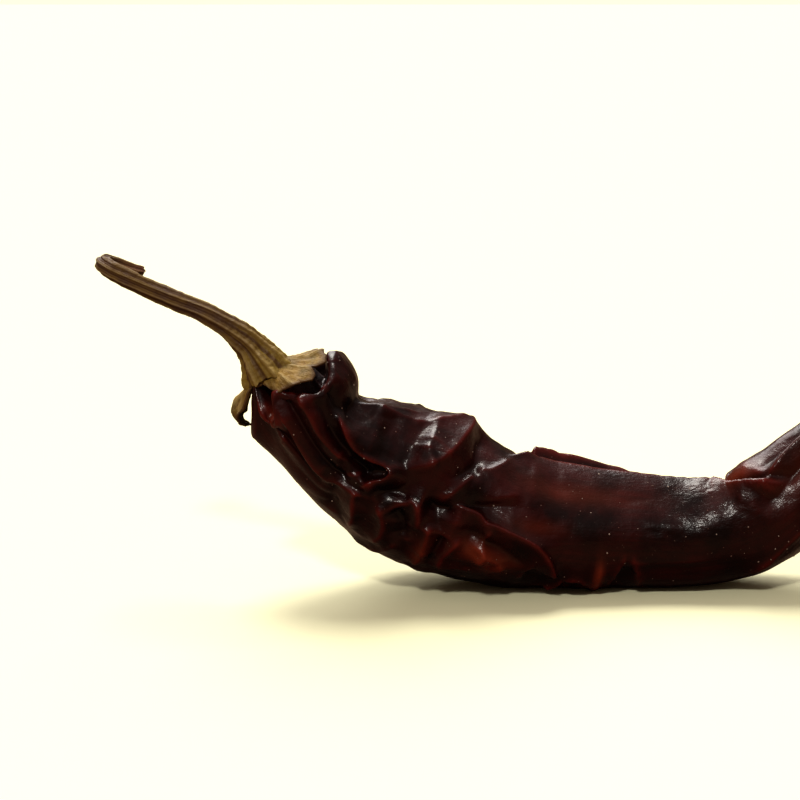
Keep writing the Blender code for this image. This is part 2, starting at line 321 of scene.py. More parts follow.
class Shades:
    """Adds nodes to a tree and joins them, so that a finish reads as a list of what it does."""

    def __init__(self, tree: bpy.types.NodeTree) -> None:
        """Work on this tree."""
        self.tree = tree

    def node(
        self, kind: str, inputs: dict[str | int, object] | None = None, **settings: object
    ) -> bpy.types.Node:
        """Add a node.

        Args:
            kind: Its type.
            inputs: Values or output sockets for its inputs, by name or number.
            **settings: Its properties.

        Returns:
            The node.
        """
        made = self.tree.nodes.new(kind)
        for name, value in settings.items():
            setattr(made, name, value)
        for key, value in (inputs or {}).items():
            if isinstance(value, bpy.types.NodeSocket):
                self.tree.links.new(value, made.inputs[key])
            else:
                made.inputs[key].default_value = value
        return made

    def maths(self, operation: str, *values: object) -> bpy.types.NodeSocket:
        """The result of one operation on values or sockets."""
        return self.node("ShaderNodeMath", dict(enumerate(values)), operation=operation).outputs[0]

    def total(self, *parts: tuple[object, float]) -> bpy.types.NodeSocket:
        """Add values up, each times its own weight."""
        shares = [self.maths("MULTIPLY", value, weight) for value, weight in parts]
        result = shares[0]
        for share in shares[1:]:
            result = self.maths("ADD", result, share)
        return result

    def ramp(
        self, value: object, low: float, high: float, start: float = 0.0, stop: float = 1.0
    ) -> bpy.types.NodeSocket:
        """Turn a value's range into another range, held at both ends.

        Args:
            value: The socket to read.
            low: Where the old range starts.
            high: Where it stops.
            start: Where the new range starts.
            stop: Where it stops.

        Returns:
            The new value's socket.
        """
        made = self.node(
            "ShaderNodeMapRange",
            {"Value": value, "From Min": low, "From Max": high, "To Min": start, "To Max": stop},
            interpolation_type="SMOOTHSTEP",
        )
        return made.outputs["Result"]

    def blend(self, share: object, under: object, over: object) -> bpy.types.NodeSocket:
        """Mix two colours.

        Args:
            share: How much of the second shows.
            under: The first colour or socket.
            over: The second colour or socket.

        Returns:
            The mixed colour's socket.
        """
        made = self.node("ShaderNodeMix", {0: share, 6: under, 7: over}, data_type="RGBA")
        return made.outputs[2]

    def mask(self, name: str) -> bpy.types.NodeSocket:
        """The mesh's own mask of this name."""
        return self.node("ShaderNodeAttribute", attribute_name=name).outputs["Fac"]

    def noise(
        self, where: object, scale: float, detail: float = 3.0, roughness: float = 0.5
    ) -> bpy.types.NodeSocket:
        """Noise at a place, from 0 to 1."""
        inputs = {"Vector": where, "Scale": scale, "Detail": detail, "Roughness": roughness}
        return self.node("ShaderNodeTexNoise", inputs).outputs["Fac"]

    def stretched(self, where: object, scale: tuple[float, float, float]) -> bpy.types.NodeSocket:
        """The place, scaled by these amounts."""
        return self.node("ShaderNodeMapping", {"Vector": where, "Scale": scale}).outputs["Vector"]


def colour(red: float, green: float, blue: float) -> tuple[float, float, float, float]:
    """An opaque colour."""
    return red, green, blue, 1.0


@dataclass(frozen=True)
class GroupSocket:
    """A socket on a shader group: its name, its kind and what it holds when nothing is joined to it."""

    name: str
    kind: str = "NodeSocketFloat"
    value: float | None = None


def new_group(
    name: str, takes: Iterable[GroupSocket], gives: Iterable[GroupSocket]
) -> tuple[Shades, bpy.types.Node, bpy.types.Node]:
    """Start a shader node group.

    Args:
        name: The group's name.
        takes: Its inputs.
        gives: Its outputs.

    Returns:
        What adds nodes to it, its input node and its output node.
    """
    tree = bpy.data.node_groups.new(name, "ShaderNodeTree")
    for socket in takes:
        made = tree.interface.new_socket(socket.name, in_out="INPUT", socket_type=socket.kind)
        if socket.value is not None:
            made.default_value = socket.value
    for socket in gives:
        tree.interface.new_socket(socket.name, in_out="OUTPUT", socket_type=socket.kind)
    shades = Shades(tree)
    return shades, tree.nodes.new("NodeGroupInput"), tree.nodes.new("NodeGroupOutput")


class SharedEffects:
    """The shader groups that more than one finish uses, each built once."""

    def __init__(self) -> None:
        """Build the groups."""
        self.mottle = self._mottle()
        self.fibres = self._fibres()

    @staticmethod
    def _mottle() -> bpy.types.NodeTree:
        """Patches of two sizes on Object coordinates, as dried plant skin has.

        Returns:
            The group: Patches Per Metre and Flecks Per Metre in, Patches and Flecks out.
        """
        takes = (GroupSocket("Patches Per Metre", value=90.0), GroupSocket("Flecks Per Metre", value=900.0))
        gives = (GroupSocket("Patches"), GroupSocket("Flecks"))
        shades, given, out = new_group("mottle", takes, gives)
        where = shades.node("ShaderNodeTexCoord").outputs["Object"]
        patches = shades.noise(where, given.outputs[0], 4.0, 0.55)
        flecks = shades.noise(where, given.outputs[1], 2.0, 0.6)
        shades.tree.links.new(shades.ramp(patches, 0.34, 0.66), out.inputs["Patches"])
        shades.tree.links.new(shades.ramp(flecks, 0.56, 0.74), out.inputs["Flecks"])
        return shades.tree

    @staticmethod
    def _fibres() -> bpy.types.NodeTree:
        """Long thin streaks that run along the piece's UV map.

        Returns:
            The group: Along and Around in, Streaks and Hairs out.
        """
        takes = (GroupSocket("Along", value=6.0), GroupSocket("Around", value=40.0))
        gives = (GroupSocket("Streaks"), GroupSocket("Hairs"))
        shades, given, out = new_group("fibres", takes, gives)
        where = shades.node("ShaderNodeTexCoord").outputs["UV"]
        scale = shades.node("ShaderNodeCombineXYZ", {"X": given.outputs[0], "Y": given.outputs[1], "Z": 1.0})
        spread = shades.node("ShaderNodeVectorMath", {0: where, 1: scale.outputs[0]}, operation="MULTIPLY")
        streaks = shades.noise(spread.outputs[0], 1.0, 3.0, 0.6)
        hairs = shades.noise(spread.outputs[0], 4.0, 2.0, 0.6)
        shades.tree.links.new(shades.ramp(streaks, 0.3, 0.7), out.inputs["Streaks"])
        shades.tree.links.new(hairs, out.inputs["Hairs"])
        return shades.tree


def new_finish(name: str) -> tuple[bpy.types.Material, Shades, bpy.types.Node]:
    """Start a material.

    Args:
        name: Its name.

    Returns:
        The material, what adds nodes to it, and its Principled BSDF.
    """
    made = bpy.data.materials.new(name)
    made.use_nodes = True
    return made, Shades(made.node_tree), made.node_tree.nodes["Principled BSDF"]


@dataclass(frozen=True)
class PodSkinFinish:
    """Dried chilli skin: nearly black maroon and glossy, with a painted red glow of light coming through
    where it is thin and painted shade in its hollows.
    """

    name: str = "pod_skin"
    deep: tuple = colour(0.0060, 0.0008, 0.0006)
    maroon: tuple = colour(0.043, 0.0022, 0.0016)
    # Painted glow: the red of light coming through thin skin, laid on the convex crests.
    glow: tuple = colour(0.150, 0.0110, 0.0068)
    # Painted glow: the orange of light coming through the thin spots.
    painted_glow: tuple = colour(0.36, 0.060, 0.020)
    dust: tuple = colour(0.20, 0.13, 0.10)
    roughness: float = 0.34
    shine: float = 0.18
    coat: float = 0.40
    coat_roughness: float = 0.15

    def material(self, effects: SharedEffects) -> bpy.types.Material:
        """Build the material.

        Args:
            effects: The shared shader groups.

        Returns:
            The skin's material.
        """
        made, shades, skin = new_finish(self.name)
        mottle = shades.node("ShaderNodeGroup", node_tree=effects.mottle)
        fibres = shades.node("ShaderNodeGroup", node_tree=effects.fibres)
        fibres.inputs["Along"].default_value = 5.0
        fibres.inputs["Around"].default_value = 70.0
        where = shades.node("ShaderNodeTexCoord").outputs["Object"]
        wide = shades.noise(where, 45.0, 3.0, 0.5)
        tone = shades.blend(mottle.outputs["Patches"], self.deep, self.maroon)
        streaked = shades.maths("MULTIPLY", fibres.outputs["Streaks"], shades.ramp(wide, 0.4, 0.62, 0.0, 0.5))
        tone = shades.blend(streaked, tone, self.deep)
        # Painted glow: the convex crests' mask turns the skin red, as light coming through thin skin would.
        thin = shades.maths("MULTIPLY", shades.mask("thin"), shades.ramp(wide, 0.3, 0.6, 0.35, 1.0))
        tone = shades.blend(thin, tone, self.glow)
        # Painted glow: light coming through the thin spots, painted orange.
        tone = shades.blend(shades.mask("painted_glow"), tone, self.painted_glow)
        # Painted shade: the concave hollows are darkened towards the deep tone.
        tone = shades.blend(shades.maths("MULTIPLY", shades.mask("hollow"), 0.6), tone, self.deep)
        specks = shades.noise(where, 1900.0, 1.0, 0.4)
        tone = shades.blend(shades.ramp(specks, 0.755, 0.80, 0.0, 0.5), tone, self.dust)
        shades.tree.links.new(tone, skin.inputs["Base Color"])
        rough = shades.ramp(mottle.outputs["Patches"], 0.0, 1.0, self.roughness - 0.05, self.roughness + 0.08)
        shades.tree.links.new(rough, skin.inputs["Roughness"])
        skin.inputs["Specular IOR Level"].default_value = self.shine
        skin.inputs["Coat Weight"].default_value = self.coat
        skin.inputs["Coat Roughness"].default_value = self.coat_roughness
        skin.inputs["Coat IOR"].default_value = 1.45
        grain = shades.noise(where, 1500.0, 3.0, 0.6)
        ripple = shades.noise(shades.stretched(where, (1.0, 1.6, 1.6)), 330.0, 4.0, 0.55)
        height = shades.total((grain, 0.10), (ripple, 0.38), (fibres.outputs["Hairs"], 0.06))
        bump = shades.node("ShaderNodeBump", {"Strength": 0.6, "Distance": 0.0008, "Height": height})
        shades.tree.links.new(bump.outputs["Normal"], skin.inputs["Normal"])
        shades.tree.links.new(bump.outputs["Normal"], skin.inputs["Coat Normal"])
        return made


@dataclass(frozen=True)
class CalyxFinish:
    """Papery dry calyx: olive tan, veined on its outer face and browner at its torn edge."""

    name: str = "dry_calyx"
    tan: tuple = colour(0.37, 0.225, 0.040)
    olive: tuple = colour(0.185, 0.125, 0.020)
    brown: tuple = colour(0.085, 0.034, 0.012)
    pale: tuple = colour(0.50, 0.37, 0.15)
    roughness: float = 0.74

    def material(self, effects: SharedEffects) -> bpy.types.Material:
        """Build the material.

        Args:
            effects: The shared shader groups.

        Returns:
            The calyx's material.
        """
        made, shades, skin = new_finish(self.name)
        mottle = shades.node("ShaderNodeGroup", node_tree=effects.mottle)
        mottle.inputs["Patches Per Metre"].default_value = 260.0
        mottle.inputs["Flecks Per Metre"].default_value = 1600.0
        fibres = shades.node("ShaderNodeGroup", node_tree=effects.fibres)
        fibres.inputs["Along"].default_value = 3.0
        fibres.inputs["Around"].default_value = 60.0
        tone = shades.blend(mottle.outputs["Patches"], self.olive, self.tan)
        tone = shades.blend(shades.maths("MULTIPLY", fibres.outputs["Streaks"], 0.35), tone, self.brown)
        tone = shades.blend(shades.maths("MULTIPLY", mottle.outputs["Flecks"], 0.5), tone, self.brown)
        tone = shades.blend(shades.maths("MULTIPLY", shades.mask("ridge"), 0.55), tone, self.pale)
        tone = shades.blend(shades.mask("rim"), tone, self.brown)
        shades.tree.links.new(tone, skin.inputs["Base Color"])
        rough = shades.ramp(mottle.outputs["Flecks"], 0.0, 1.0, self.roughness - 0.08, self.roughness + 0.1)
        shades.tree.links.new(rough, skin.inputs["Roughness"])
        where = shades.node("ShaderNodeTexCoord").outputs["Object"]
        crinkle = shades.noise(where, 700.0, 4.0, 0.6)
        height = shades.total((crinkle, 0.6), (fibres.outputs["Hairs"], 0.5))
        bump = shades.node("ShaderNodeBump", {"Strength": 0.7, "Distance": 0.0006, "Height": height})
        shades.tree.links.new(bump.outputs["Normal"], skin.inputs["Normal"])
        return made


@dataclass(frozen=True)
class StemFinish:
    """Dry stem bark: olive brown, with painted shade in its grooves, greener at its foot and red at its cut
    end.
    """

    name: str = "dry_stem"
    olive: tuple = colour(0.200, 0.118, 0.024)
    brown: tuple = colour(0.090, 0.036, 0.011)
    green: tuple = colour(0.370, 0.255, 0.038)
    red: tuple = colour(0.20, 0.062, 0.028)
    pale: tuple = colour(0.44, 0.32, 0.14)
    roughness: float = 0.58

    def material(self, effects: SharedEffects) -> bpy.types.Material:
        """Build the material.

        Args:
            effects: The shared shader groups.

        Returns:
            The stem's material.
        """
        made, shades, skin = new_finish(self.name)
        mottle = shades.node("ShaderNodeGroup", node_tree=effects.mottle)
        mottle.inputs["Patches Per Metre"].default_value = 220.0
        mottle.inputs["Flecks Per Metre"].default_value = 1500.0
        fibres = shades.node("ShaderNodeGroup", node_tree=effects.fibres)
        fibres.inputs["Along"].default_value = 14.0
        fibres.inputs["Around"].default_value = 34.0
        place = shades.node("ShaderNodeTexCoord")
        along = shades.node("ShaderNodeSeparateXYZ", {0: place.outputs["UV"]}).outputs["X"]
        tone = shades.blend(mottle.outputs["Patches"], self.brown, self.olive)
        tone = shades.blend(shades.ramp(along, 0.34, 0.0, 0.0, 0.85), tone, self.green)
        tone = shades.blend(shades.ramp(along, 0.86, 1.0, 0.0, 0.9), tone, self.red)
        tone = shades.blend(shades.maths("MULTIPLY", fibres.outputs["Streaks"], 0.5), tone, self.brown)
        # Painted shade: the rib grooves are darkened towards brown.
        tone = shades.blend(shades.maths("MULTIPLY", shades.mask("groove"), 0.75), tone, self.brown)
        tone = shades.blend(shades.maths("MULTIPLY", shades.mask("rib"), 0.35), tone, self.pale)
        shades.tree.links.new(tone, skin.inputs["Base Color"])
        rough = shades.ramp(mottle.outputs["Patches"], 0.0, 1.0, self.roughness - 0.08, self.roughness + 0.12)
        shades.tree.links.new(rough, skin.inputs["Roughness"])
        where = shades.node("ShaderNodeTexCoord").outputs["Object"]
        grain = shades.noise(where, 1400.0, 3.0, 0.6)
        height = shades.total((grain, 0.3), (fibres.outputs["Hairs"], 0.8))
        bump = shades.node("ShaderNodeBump", {"Strength": 0.6, "Distance": 0.0004, "Height": height})
        shades.tree.links.new(bump.outputs["Normal"], skin.inputs["Normal"])
        return made


@dataclass(frozen=True)
class SpeckFinish:
    """Specks of pale dust."""

    name: str = "pod_specks"
    tone: tuple = colour(0.42, 0.33, 0.28)
    dark: tuple = colour(0.10, 0.03, 0.02)
    roughness: float = 0.5

    def material(self) -> bpy.types.Material:
        """The specks' material."""
        made, shades, skin = new_finish(self.name)
        where = shades.node("ShaderNodeTexCoord").outputs["Object"]
        share = shades.ramp(shades.noise(where, 400.0, 1.0), 0.45, 0.6)
        shades.tree.links.new(shades.blend(share, self.dark, self.tone), skin.inputs["Base Color"])
        skin.inputs["Roughness"].default_value = self.roughness
        return made


@dataclass(frozen=True)
class FloorFinish:
    """A plain pale table, which throws back less light on the pepper than it shows to the camera."""

    name: str = "pale_table"
    tone: tuple = colour(0.98, 0.96, 0.67)
    dim: tuple = colour(0.22, 0.15, 0.10)
    roughness: float = 0.9

    def material(self) -> bpy.types.Material:
        """The floor's material."""
        made, shades, skin = new_finish(self.name)
        seen = shades.node("ShaderNodeLightPath").outputs["Is Camera Ray"]
        shades.tree.links.new(shades.blend(seen, self.dim, self.tone), skin.inputs["Base Color"])
        skin.inputs["Roughness"].default_value = self.roughness
        skin.inputs["Specular IOR Level"].default_value = 0.0
        return made


# ---------------------------------------------------------------------------------------------------------
# The pod
# ---------------------------------------------------------------------------------------------------------


@dataclass(frozen=True)
class Lobe:
    """A lobe of the shoulder's crest.

    Attributes:
        middle: Its angle.
        below: Its spread towards smaller angles.
        above: Its spread towards larger angles.
        reach: How far it stands out over the crown.
        lean: How far it leans in towards the stem.
    """

    middle: float
    below: float
    above: float
    reach: float
    lean: float

    def at(self, angles: np.ndarray) -> np.ndarray:
        """The lobe's share, from 0 to 1, at these angles."""
        apart = (angles - self.middle + 180) % 360 - 180
        return np.exp(-((apart / np.where(apart < 0, self.below, self.above)) ** 2))


@dataclass(frozen=True)
class Fold:
    """A ridge in the skin, or a groove where its height is below zero.

    Attributes:
        line: Its (station, angle) points.
        height: How far it lifts the skin, in millimetres.
        left: How fast it dies away on its left, seen from outside.
        right: How fast it dies away on its right.
        crest: How round it is along its line.
        lean: How far its line is pushed to its right.
        fades: The shares of its length over which it starts and stops.
    """

    line: tuple[tuple[float, float], ...]
    height: float
    left: float
    right: float
    crest: float = 0.5
    lean: float = 0.0
    fades: tuple[float, float] = (0.2, 0.2)


@dataclass(frozen=True)
class Glow:
    """A thin spot of skin that light comes through.

    Attributes:
        station: Where it is along the skin.
        angle: Where it is round the pod.
        long: Its half length along the skin, in millimetres.
        wide: Its half width round the pod, in degrees.
        strength: How bright it is, from 0 to 1.
    """

    station: float
    angle: float
    long: float
    wide: float
    strength: float


class Region(Enum):
    """A stretch of skin that gets small creases of its own: stations, angles, count and typical height."""

    SHOULDER = ((2.0, 34.0), (-60.0, 80.0), 26, 0.35)
    BELLY_SIDE = ((24.0, 66.0), (-90.0, 6.0), 34, 0.5)
    LONG_SIDE = ((52.0, 112.0), (-50.0, 75.0), 44, 0.16)
    TAIL = ((104.0, 166.0), (-180.0, 180.0), 46, 0.35)
    BACK = ((4.0, 108.0), (100.0, 260.0), 90, 0.55)
    CROWN = ((-8.0, 2.0), (-180.0, 180.0), 26, 0.3)


@dataclass
class Pod:
    """The collapsed pod, one closed skin from the crown under the calyx to the tip.

    Attributes:
        spine: The line that it bends along.
        rings: Station, distance along the spine, half width and half height.
        lobes: The lobes of the shoulder's crest.
        lobe_stations: Where the lobes' pull starts, is whole, stays whole and stops.
        folds: The main folds, by name.
        glows: The thin spots.
        ring_runs: First station, last station and count of each run of rings.
        sides: Points in a ring.
        seed: What fixes the small creases.
    """

    spine: tuple = (
        (-51.0, -5.0, 41.0),
        (-45.7, -4.0, 33.6),
        (-36.3, -2.5, 26.6),
        (-26.4, -1.0, 21.0),
        (-17.0, 0.0, 16.6),
        (-7.2, 0.3, 13.6),
        (3.9, 0.5, 12.4),
        (17.5, 0.5, 11.6),
        (31.6, 0.0, 11.2),
        (40.5, -0.5, 12.8),
        (47.6, -0.5, 17.2),
        (57.4, 0.5, 26.4),
        (67.1, 2.0, 35.6),
        (75.4, 3.0, 44.4),
        (82.2, 3.0, 52.6),
        (86.0, 2.0, 58.6),
    )
    rings: tuple = (
        (-15.0, -7.0, 0.0, 0.0),
        (-10.5, -7.0, 4.4, 4.4),
        (-9.0, -5.4, 5.2, 5.2),
        (-5.0, -0.4, 6.4, 6.4),
        (-3.2, 1.2, 7.8, 7.8),
        (-1.6, 0.6, 9.8, 9.8),
        (0.0, -0.6, 11.2, 11.4),
        (1.6, -0.2, 12.4, 12.8),
        (4.0, 2.0, 12.8, 13.2),
        (10.0, 8.0, 12.4, 12.4),
        (22.0, 20.0, 13.6, 14.6),
        (33.0, 31.0, 15.0, 16.4),
        (44.0, 42.0, 15.8, 15.4),
        (55.0, 53.0, 15.6, 13.9),
        (66.0, 64.0, 14.8, 13.2),
        (80.0, 78.0, 13.6, 12.3),
        (94.0, 92.0, 12.6, 11.2),
        (103.0, 101.0, 11.8, 10.8),
        (112.0, 110.0, 11.0, 11.4),
        (124.0, 122.0, 9.4, 9.8),
        (138.0, 136.0, 7.4, 7.6),
        (150.0, 148.0, 5.4, 5.2),
        (160.0, 158.0, 3.4, 3.4),
        (167.0, 165.0, 1.6, 1.6),
        (170.0, 168.0, 0.0, 0.0),
    )
    lobes: tuple = (
        Lobe(80, 38, 38, 5.2, 1.4),
        Lobe(-20, 10, 34, 6.2, 2.4),
        Lobe(-56, 18, 14, 9.0, 5.0),
        Lobe(-88, 34, 18, 0.8, -0.2),
        Lobe(175, 35, 35, 2.5, 0.6),
    )
    lobe_stations: tuple = (-6.0, -1.8, 1.5, 12.0)
    folds: dict = field(default_factory=dict)
    glows: tuple = ()
    ring_runs: tuple = ((-14.9, 2.0, 64), (2.35, 70.0, 190), (70.6, 169.6, 142))
    sides: int = 250
    fold_samples: int = 70
    seed: int = 11

    STEP_ALONG = 0.2
    STEP_ROUND = 1.0
    FOLD_REACH = 7.0
    SHORTEST_FADE = 1e-6
    DEGREES_PER_MM = 4.2
    FINE, BROAD = 1, 5

    def __post_init__(self) -> None:
        """Lay the spine that everything is read from."""
        self.line = Spine(self.spine)

    def bare(self, stations: np.ndarray, angles: np.ndarray) -> np.ndarray:
        """The skin before its folds.

        Args:
            stations: Distances along the skin.
            angles: Angles round it, broadcast with the stations.

        Returns:
            A point for each, in millimetres.
        """
        stations, angles = np.broadcast_arrays(np.asarray(stations, float), np.asarray(angles, float))
        table = np.array(self.rings)
        ring = smooth_through(table[:, 0], table[:, 1:], stations)
        along, half_width, half_height = ring[..., 0], ring[..., 1], ring[..., 2]
        held = np.clip(stations, self.lobe_stations[0], self.lobe_stations[-1])
        share = smooth_through(self.lobe_stations, (0.0, 1.0, 1.0, 0.0), held)
        for lobe in self.lobes:
            pull = share * lobe.at(angles)
            along = along - lobe.reach * pull
            half_width = half_width - lobe.lean * pull
            half_height = half_height - lobe.lean * pull
        centre, _, far, top = self.line.frame(along)
        turn = np.radians(angles)
        near = -np.cos(turn) * np.maximum(half_width, 0)
        up = np.sin(turn) * np.maximum(half_height, 0)
        return centre + near[..., None] * far + up[..., None] * top

    def outward(self, stations: np.ndarray, angles: np.ndarray) -> np.ndarray:
        """The directions out of the bare skin at each station and angle."""
        along, around = self.STEP_ALONG, self.STEP_ROUND
        onward = self.bare(stations + along, angles) - self.bare(stations - along, angles)
        round_it = self.bare(stations, angles + around) - self.bare(stations, angles - around)
        return unit(np.cross(onward, round_it))

    def crease(self, fold: Fold, points: np.ndarray, normals: np.ndarray, shifts: np.ndarray) -> None:
        """Add one fold's shift to the points that it reaches.

        Args:
            fold: The ridge or groove.
            points: The bare skin's points.
            normals: Their outward directions.
            shifts: The shifts so far, changed in place.
        """
        knots = np.linspace(0, 1, len(fold.line))
        line = smooth_through(knots, fold.line, np.linspace(0, 1, self.fold_samples))
        path, outwards = self.bare(line[:, 0], line[:, 1]), self.outward(line[:, 0], line[:, 1])
        reach = self.FOLD_REACH * max(fold.left, fold.right) + fold.crest
        inside = np.all((points > path.min(axis=0) - reach) & (points < path.max(axis=0) + reach), axis=1)
        chosen = np.flatnonzero(inside)
        if not len(chosen):
            return
        place = points[chosen]
        start, run = path[:-1], np.diff(path, axis=0)
        length = np.maximum((run**2).sum(-1), 1e-9)
        share = np.clip(((place[:, None] - start[None]) * run[None]).sum(-1) / length, 0, 1)
        gap = place[:, None] - (start[None] + share[..., None] * run[None])
        away = (gap**2).sum(-1)
        piece = away.argmin(axis=1)
        rows = np.arange(len(chosen))
        share, gap, away = share[rows, piece], gap[rows, piece], np.sqrt(away[rows, piece])
        here = outwards[piece] * (1 - share)[:, None] + outwards[piece + 1] * share[:, None]
        rightwards = unit(np.cross(unit(run)[piece], here))
        side = (gap * rightwards).sum(-1)
        slope = np.where(side > 0, fold.right, fold.left)
        profile = np.exp(-(np.sqrt(away**2 + fold.crest**2) - fold.crest) / slope)
        gone = (piece + share) / (self.fold_samples - 1)
        start_fade, end_fade = (max(fade, self.SHORTEST_FADE) for fade in fold.fades)
        profile *= eased(gone / start_fade) * eased((1 - gone) / end_fade)
        profile *= np.clip((normals[chosen] * here).sum(-1) * 2, 0, 1)
        shifts[chosen] += (fold.height * profile)[:, None] * normals[chosen]
        shifts[chosen] += (fold.lean * profile**2)[:, None] * rightwards

    def small_creases(self) -> list[Fold]:
        """The short creases that fill the skin between its main folds.

        Returns:
            The folds, the same each time for one seed.
        """
        rng = np.random.default_rng(self.seed)
        made = []
        for region in Region:
            (first, last), (low, high), count, height = region.value
            for _ in range(count):
                station, angle = rng.uniform(first, last), rng.uniform(low, high)
                length, heading = rng.uniform(5.0, 20.0), rng.normal(0.0, 0.55)
                bend = rng.normal(0.0, 0.35)
                line = []
                for step in (-0.5, -0.17, 0.17, 0.5):
                    turned = heading + bend * step
                    ahead = station + length * step * math.cos(turned)
                    aside = angle + length * step * math.sin(turned) * self.DEGREES_PER_MM
                    line.append((float(np.clip(ahead, first - 2, last + 2)), aside))
                tall = height * rng.uniform(0.4, 1.3) * rng.choice((-1.0, 1.0))
                left, right = rng.uniform(0.5, 1.9, 2)
                crest = rng.uniform(0.15, 0.5)
                made.append(Fold(tuple(line), tall, left, right, crest, fades=(0.4, 0.4)))
        return made

    def skin(self) -> SkinGrid:
        """Fold the skin and lay it on its belly.

        Returns:
            The grid in the pepper's millimetres, with the masks for its material.
        """
        stations = np.concatenate([np.linspace(first, last, count) for first, last, count in self.ring_runs])
        angles = np.arange(self.sides) * 360.0 / self.sides
        flat = self.bare(stations[:, None], angles[None, :])
        normals = self.outward(stations[:, None], angles[None, :])
        shifts = np.zeros_like(flat).reshape(-1, 3)
        everything = list(self.folds.values()) + self.small_creases()
        for fold in everything:
            self.crease(fold, flat.reshape(-1, 3), normals.reshape(-1, 3), shifts)
        points = flat + shifts.reshape(flat.shape)
        points += normals * self.unevenness(stations, angles)[..., None]
        points[..., 2] = np.maximum(points[..., 2], 0.0)
        ends = self.bare(np.array([self.rings[0][0], self.rings[-1][0]]), np.zeros(2))
        grid = SkinGrid(points, ends, stations / 100.0)
        sharp, broad = curl_of(points, self.FINE), curl_of(points, self.BROAD)
        # Painted red glow of light coming through the skin, on the convex crests.
        grid.masks["thin"] = softened(np.clip(sharp * 9 + broad * 0.45 - 0.2, 0, 1), 1)
        # Painted shade in the concave hollows.
        grid.masks["hollow"] = softened(np.clip(-broad * 1.6 - 0.1, 0, 1), 2)
        # Painted orange glow at the thin spots that light comes through.
        grid.masks["painted_glow"] = self.embers(stations, angles)
        return grid

    def unevenness(self, stations: np.ndarray, angles: np.ndarray) -> np.ndarray:
        """The skin's soft lumps of three sizes, which die away at its two ends.

        Args:
            stations: The rings' stations.
            angles: The angles round the pod.

        Returns:
            How far each point is lifted, in millimetres.
        """
        along, turns = np.meshgrid(stations, angles / 360.0, indexing="ij")
        lumps = 0.30 * patchy(along, turns, (9.0, 9), 3) + 0.14 * patchy(along, turns, (3.6, 22), 4)
        lumps += 0.05 * patchy(along, turns, (1.5, 50), 5)
        calm = 0.35 + 0.65 * eased(np.abs((along - 82.0) / 34.0))
        return lumps * calm * eased((along + 12.0) / 8.0) * eased((168.0 - along) / 20.0)

    def embers(self, stations: np.ndarray, angles: np.ndarray) -> np.ndarray:
        """How much light comes through the skin at each point, from 0 to 1."""
        total = np.zeros((len(stations), len(angles)))
        for glow in self.glows:
            apart = (angles - glow.angle + 180) % 360 - 180
            gone = ((stations[:, None] - glow.station) / glow.long) ** 2 + (apart[None, :] / glow.wide) ** 2
            total += glow.strength * np.exp(-gone)
        return np.clip(total, 0, 1)

    def build(self, bench: Bench, finish: PodSkinFinish, effects: SharedEffects) -> bpy.types.Object:
        """Make the pod and tie it to its CAD node.

        Args:
            bench: The pepper's place.
            finish: The skin's finish.
            effects: The shared shader groups.

        Returns:
            The finished skin.
        """
        piece = self.skin().to_object("pod_skin", bench)
        dress(piece, finish.material(effects))
        hand_over(piece, "pod")
        return piece


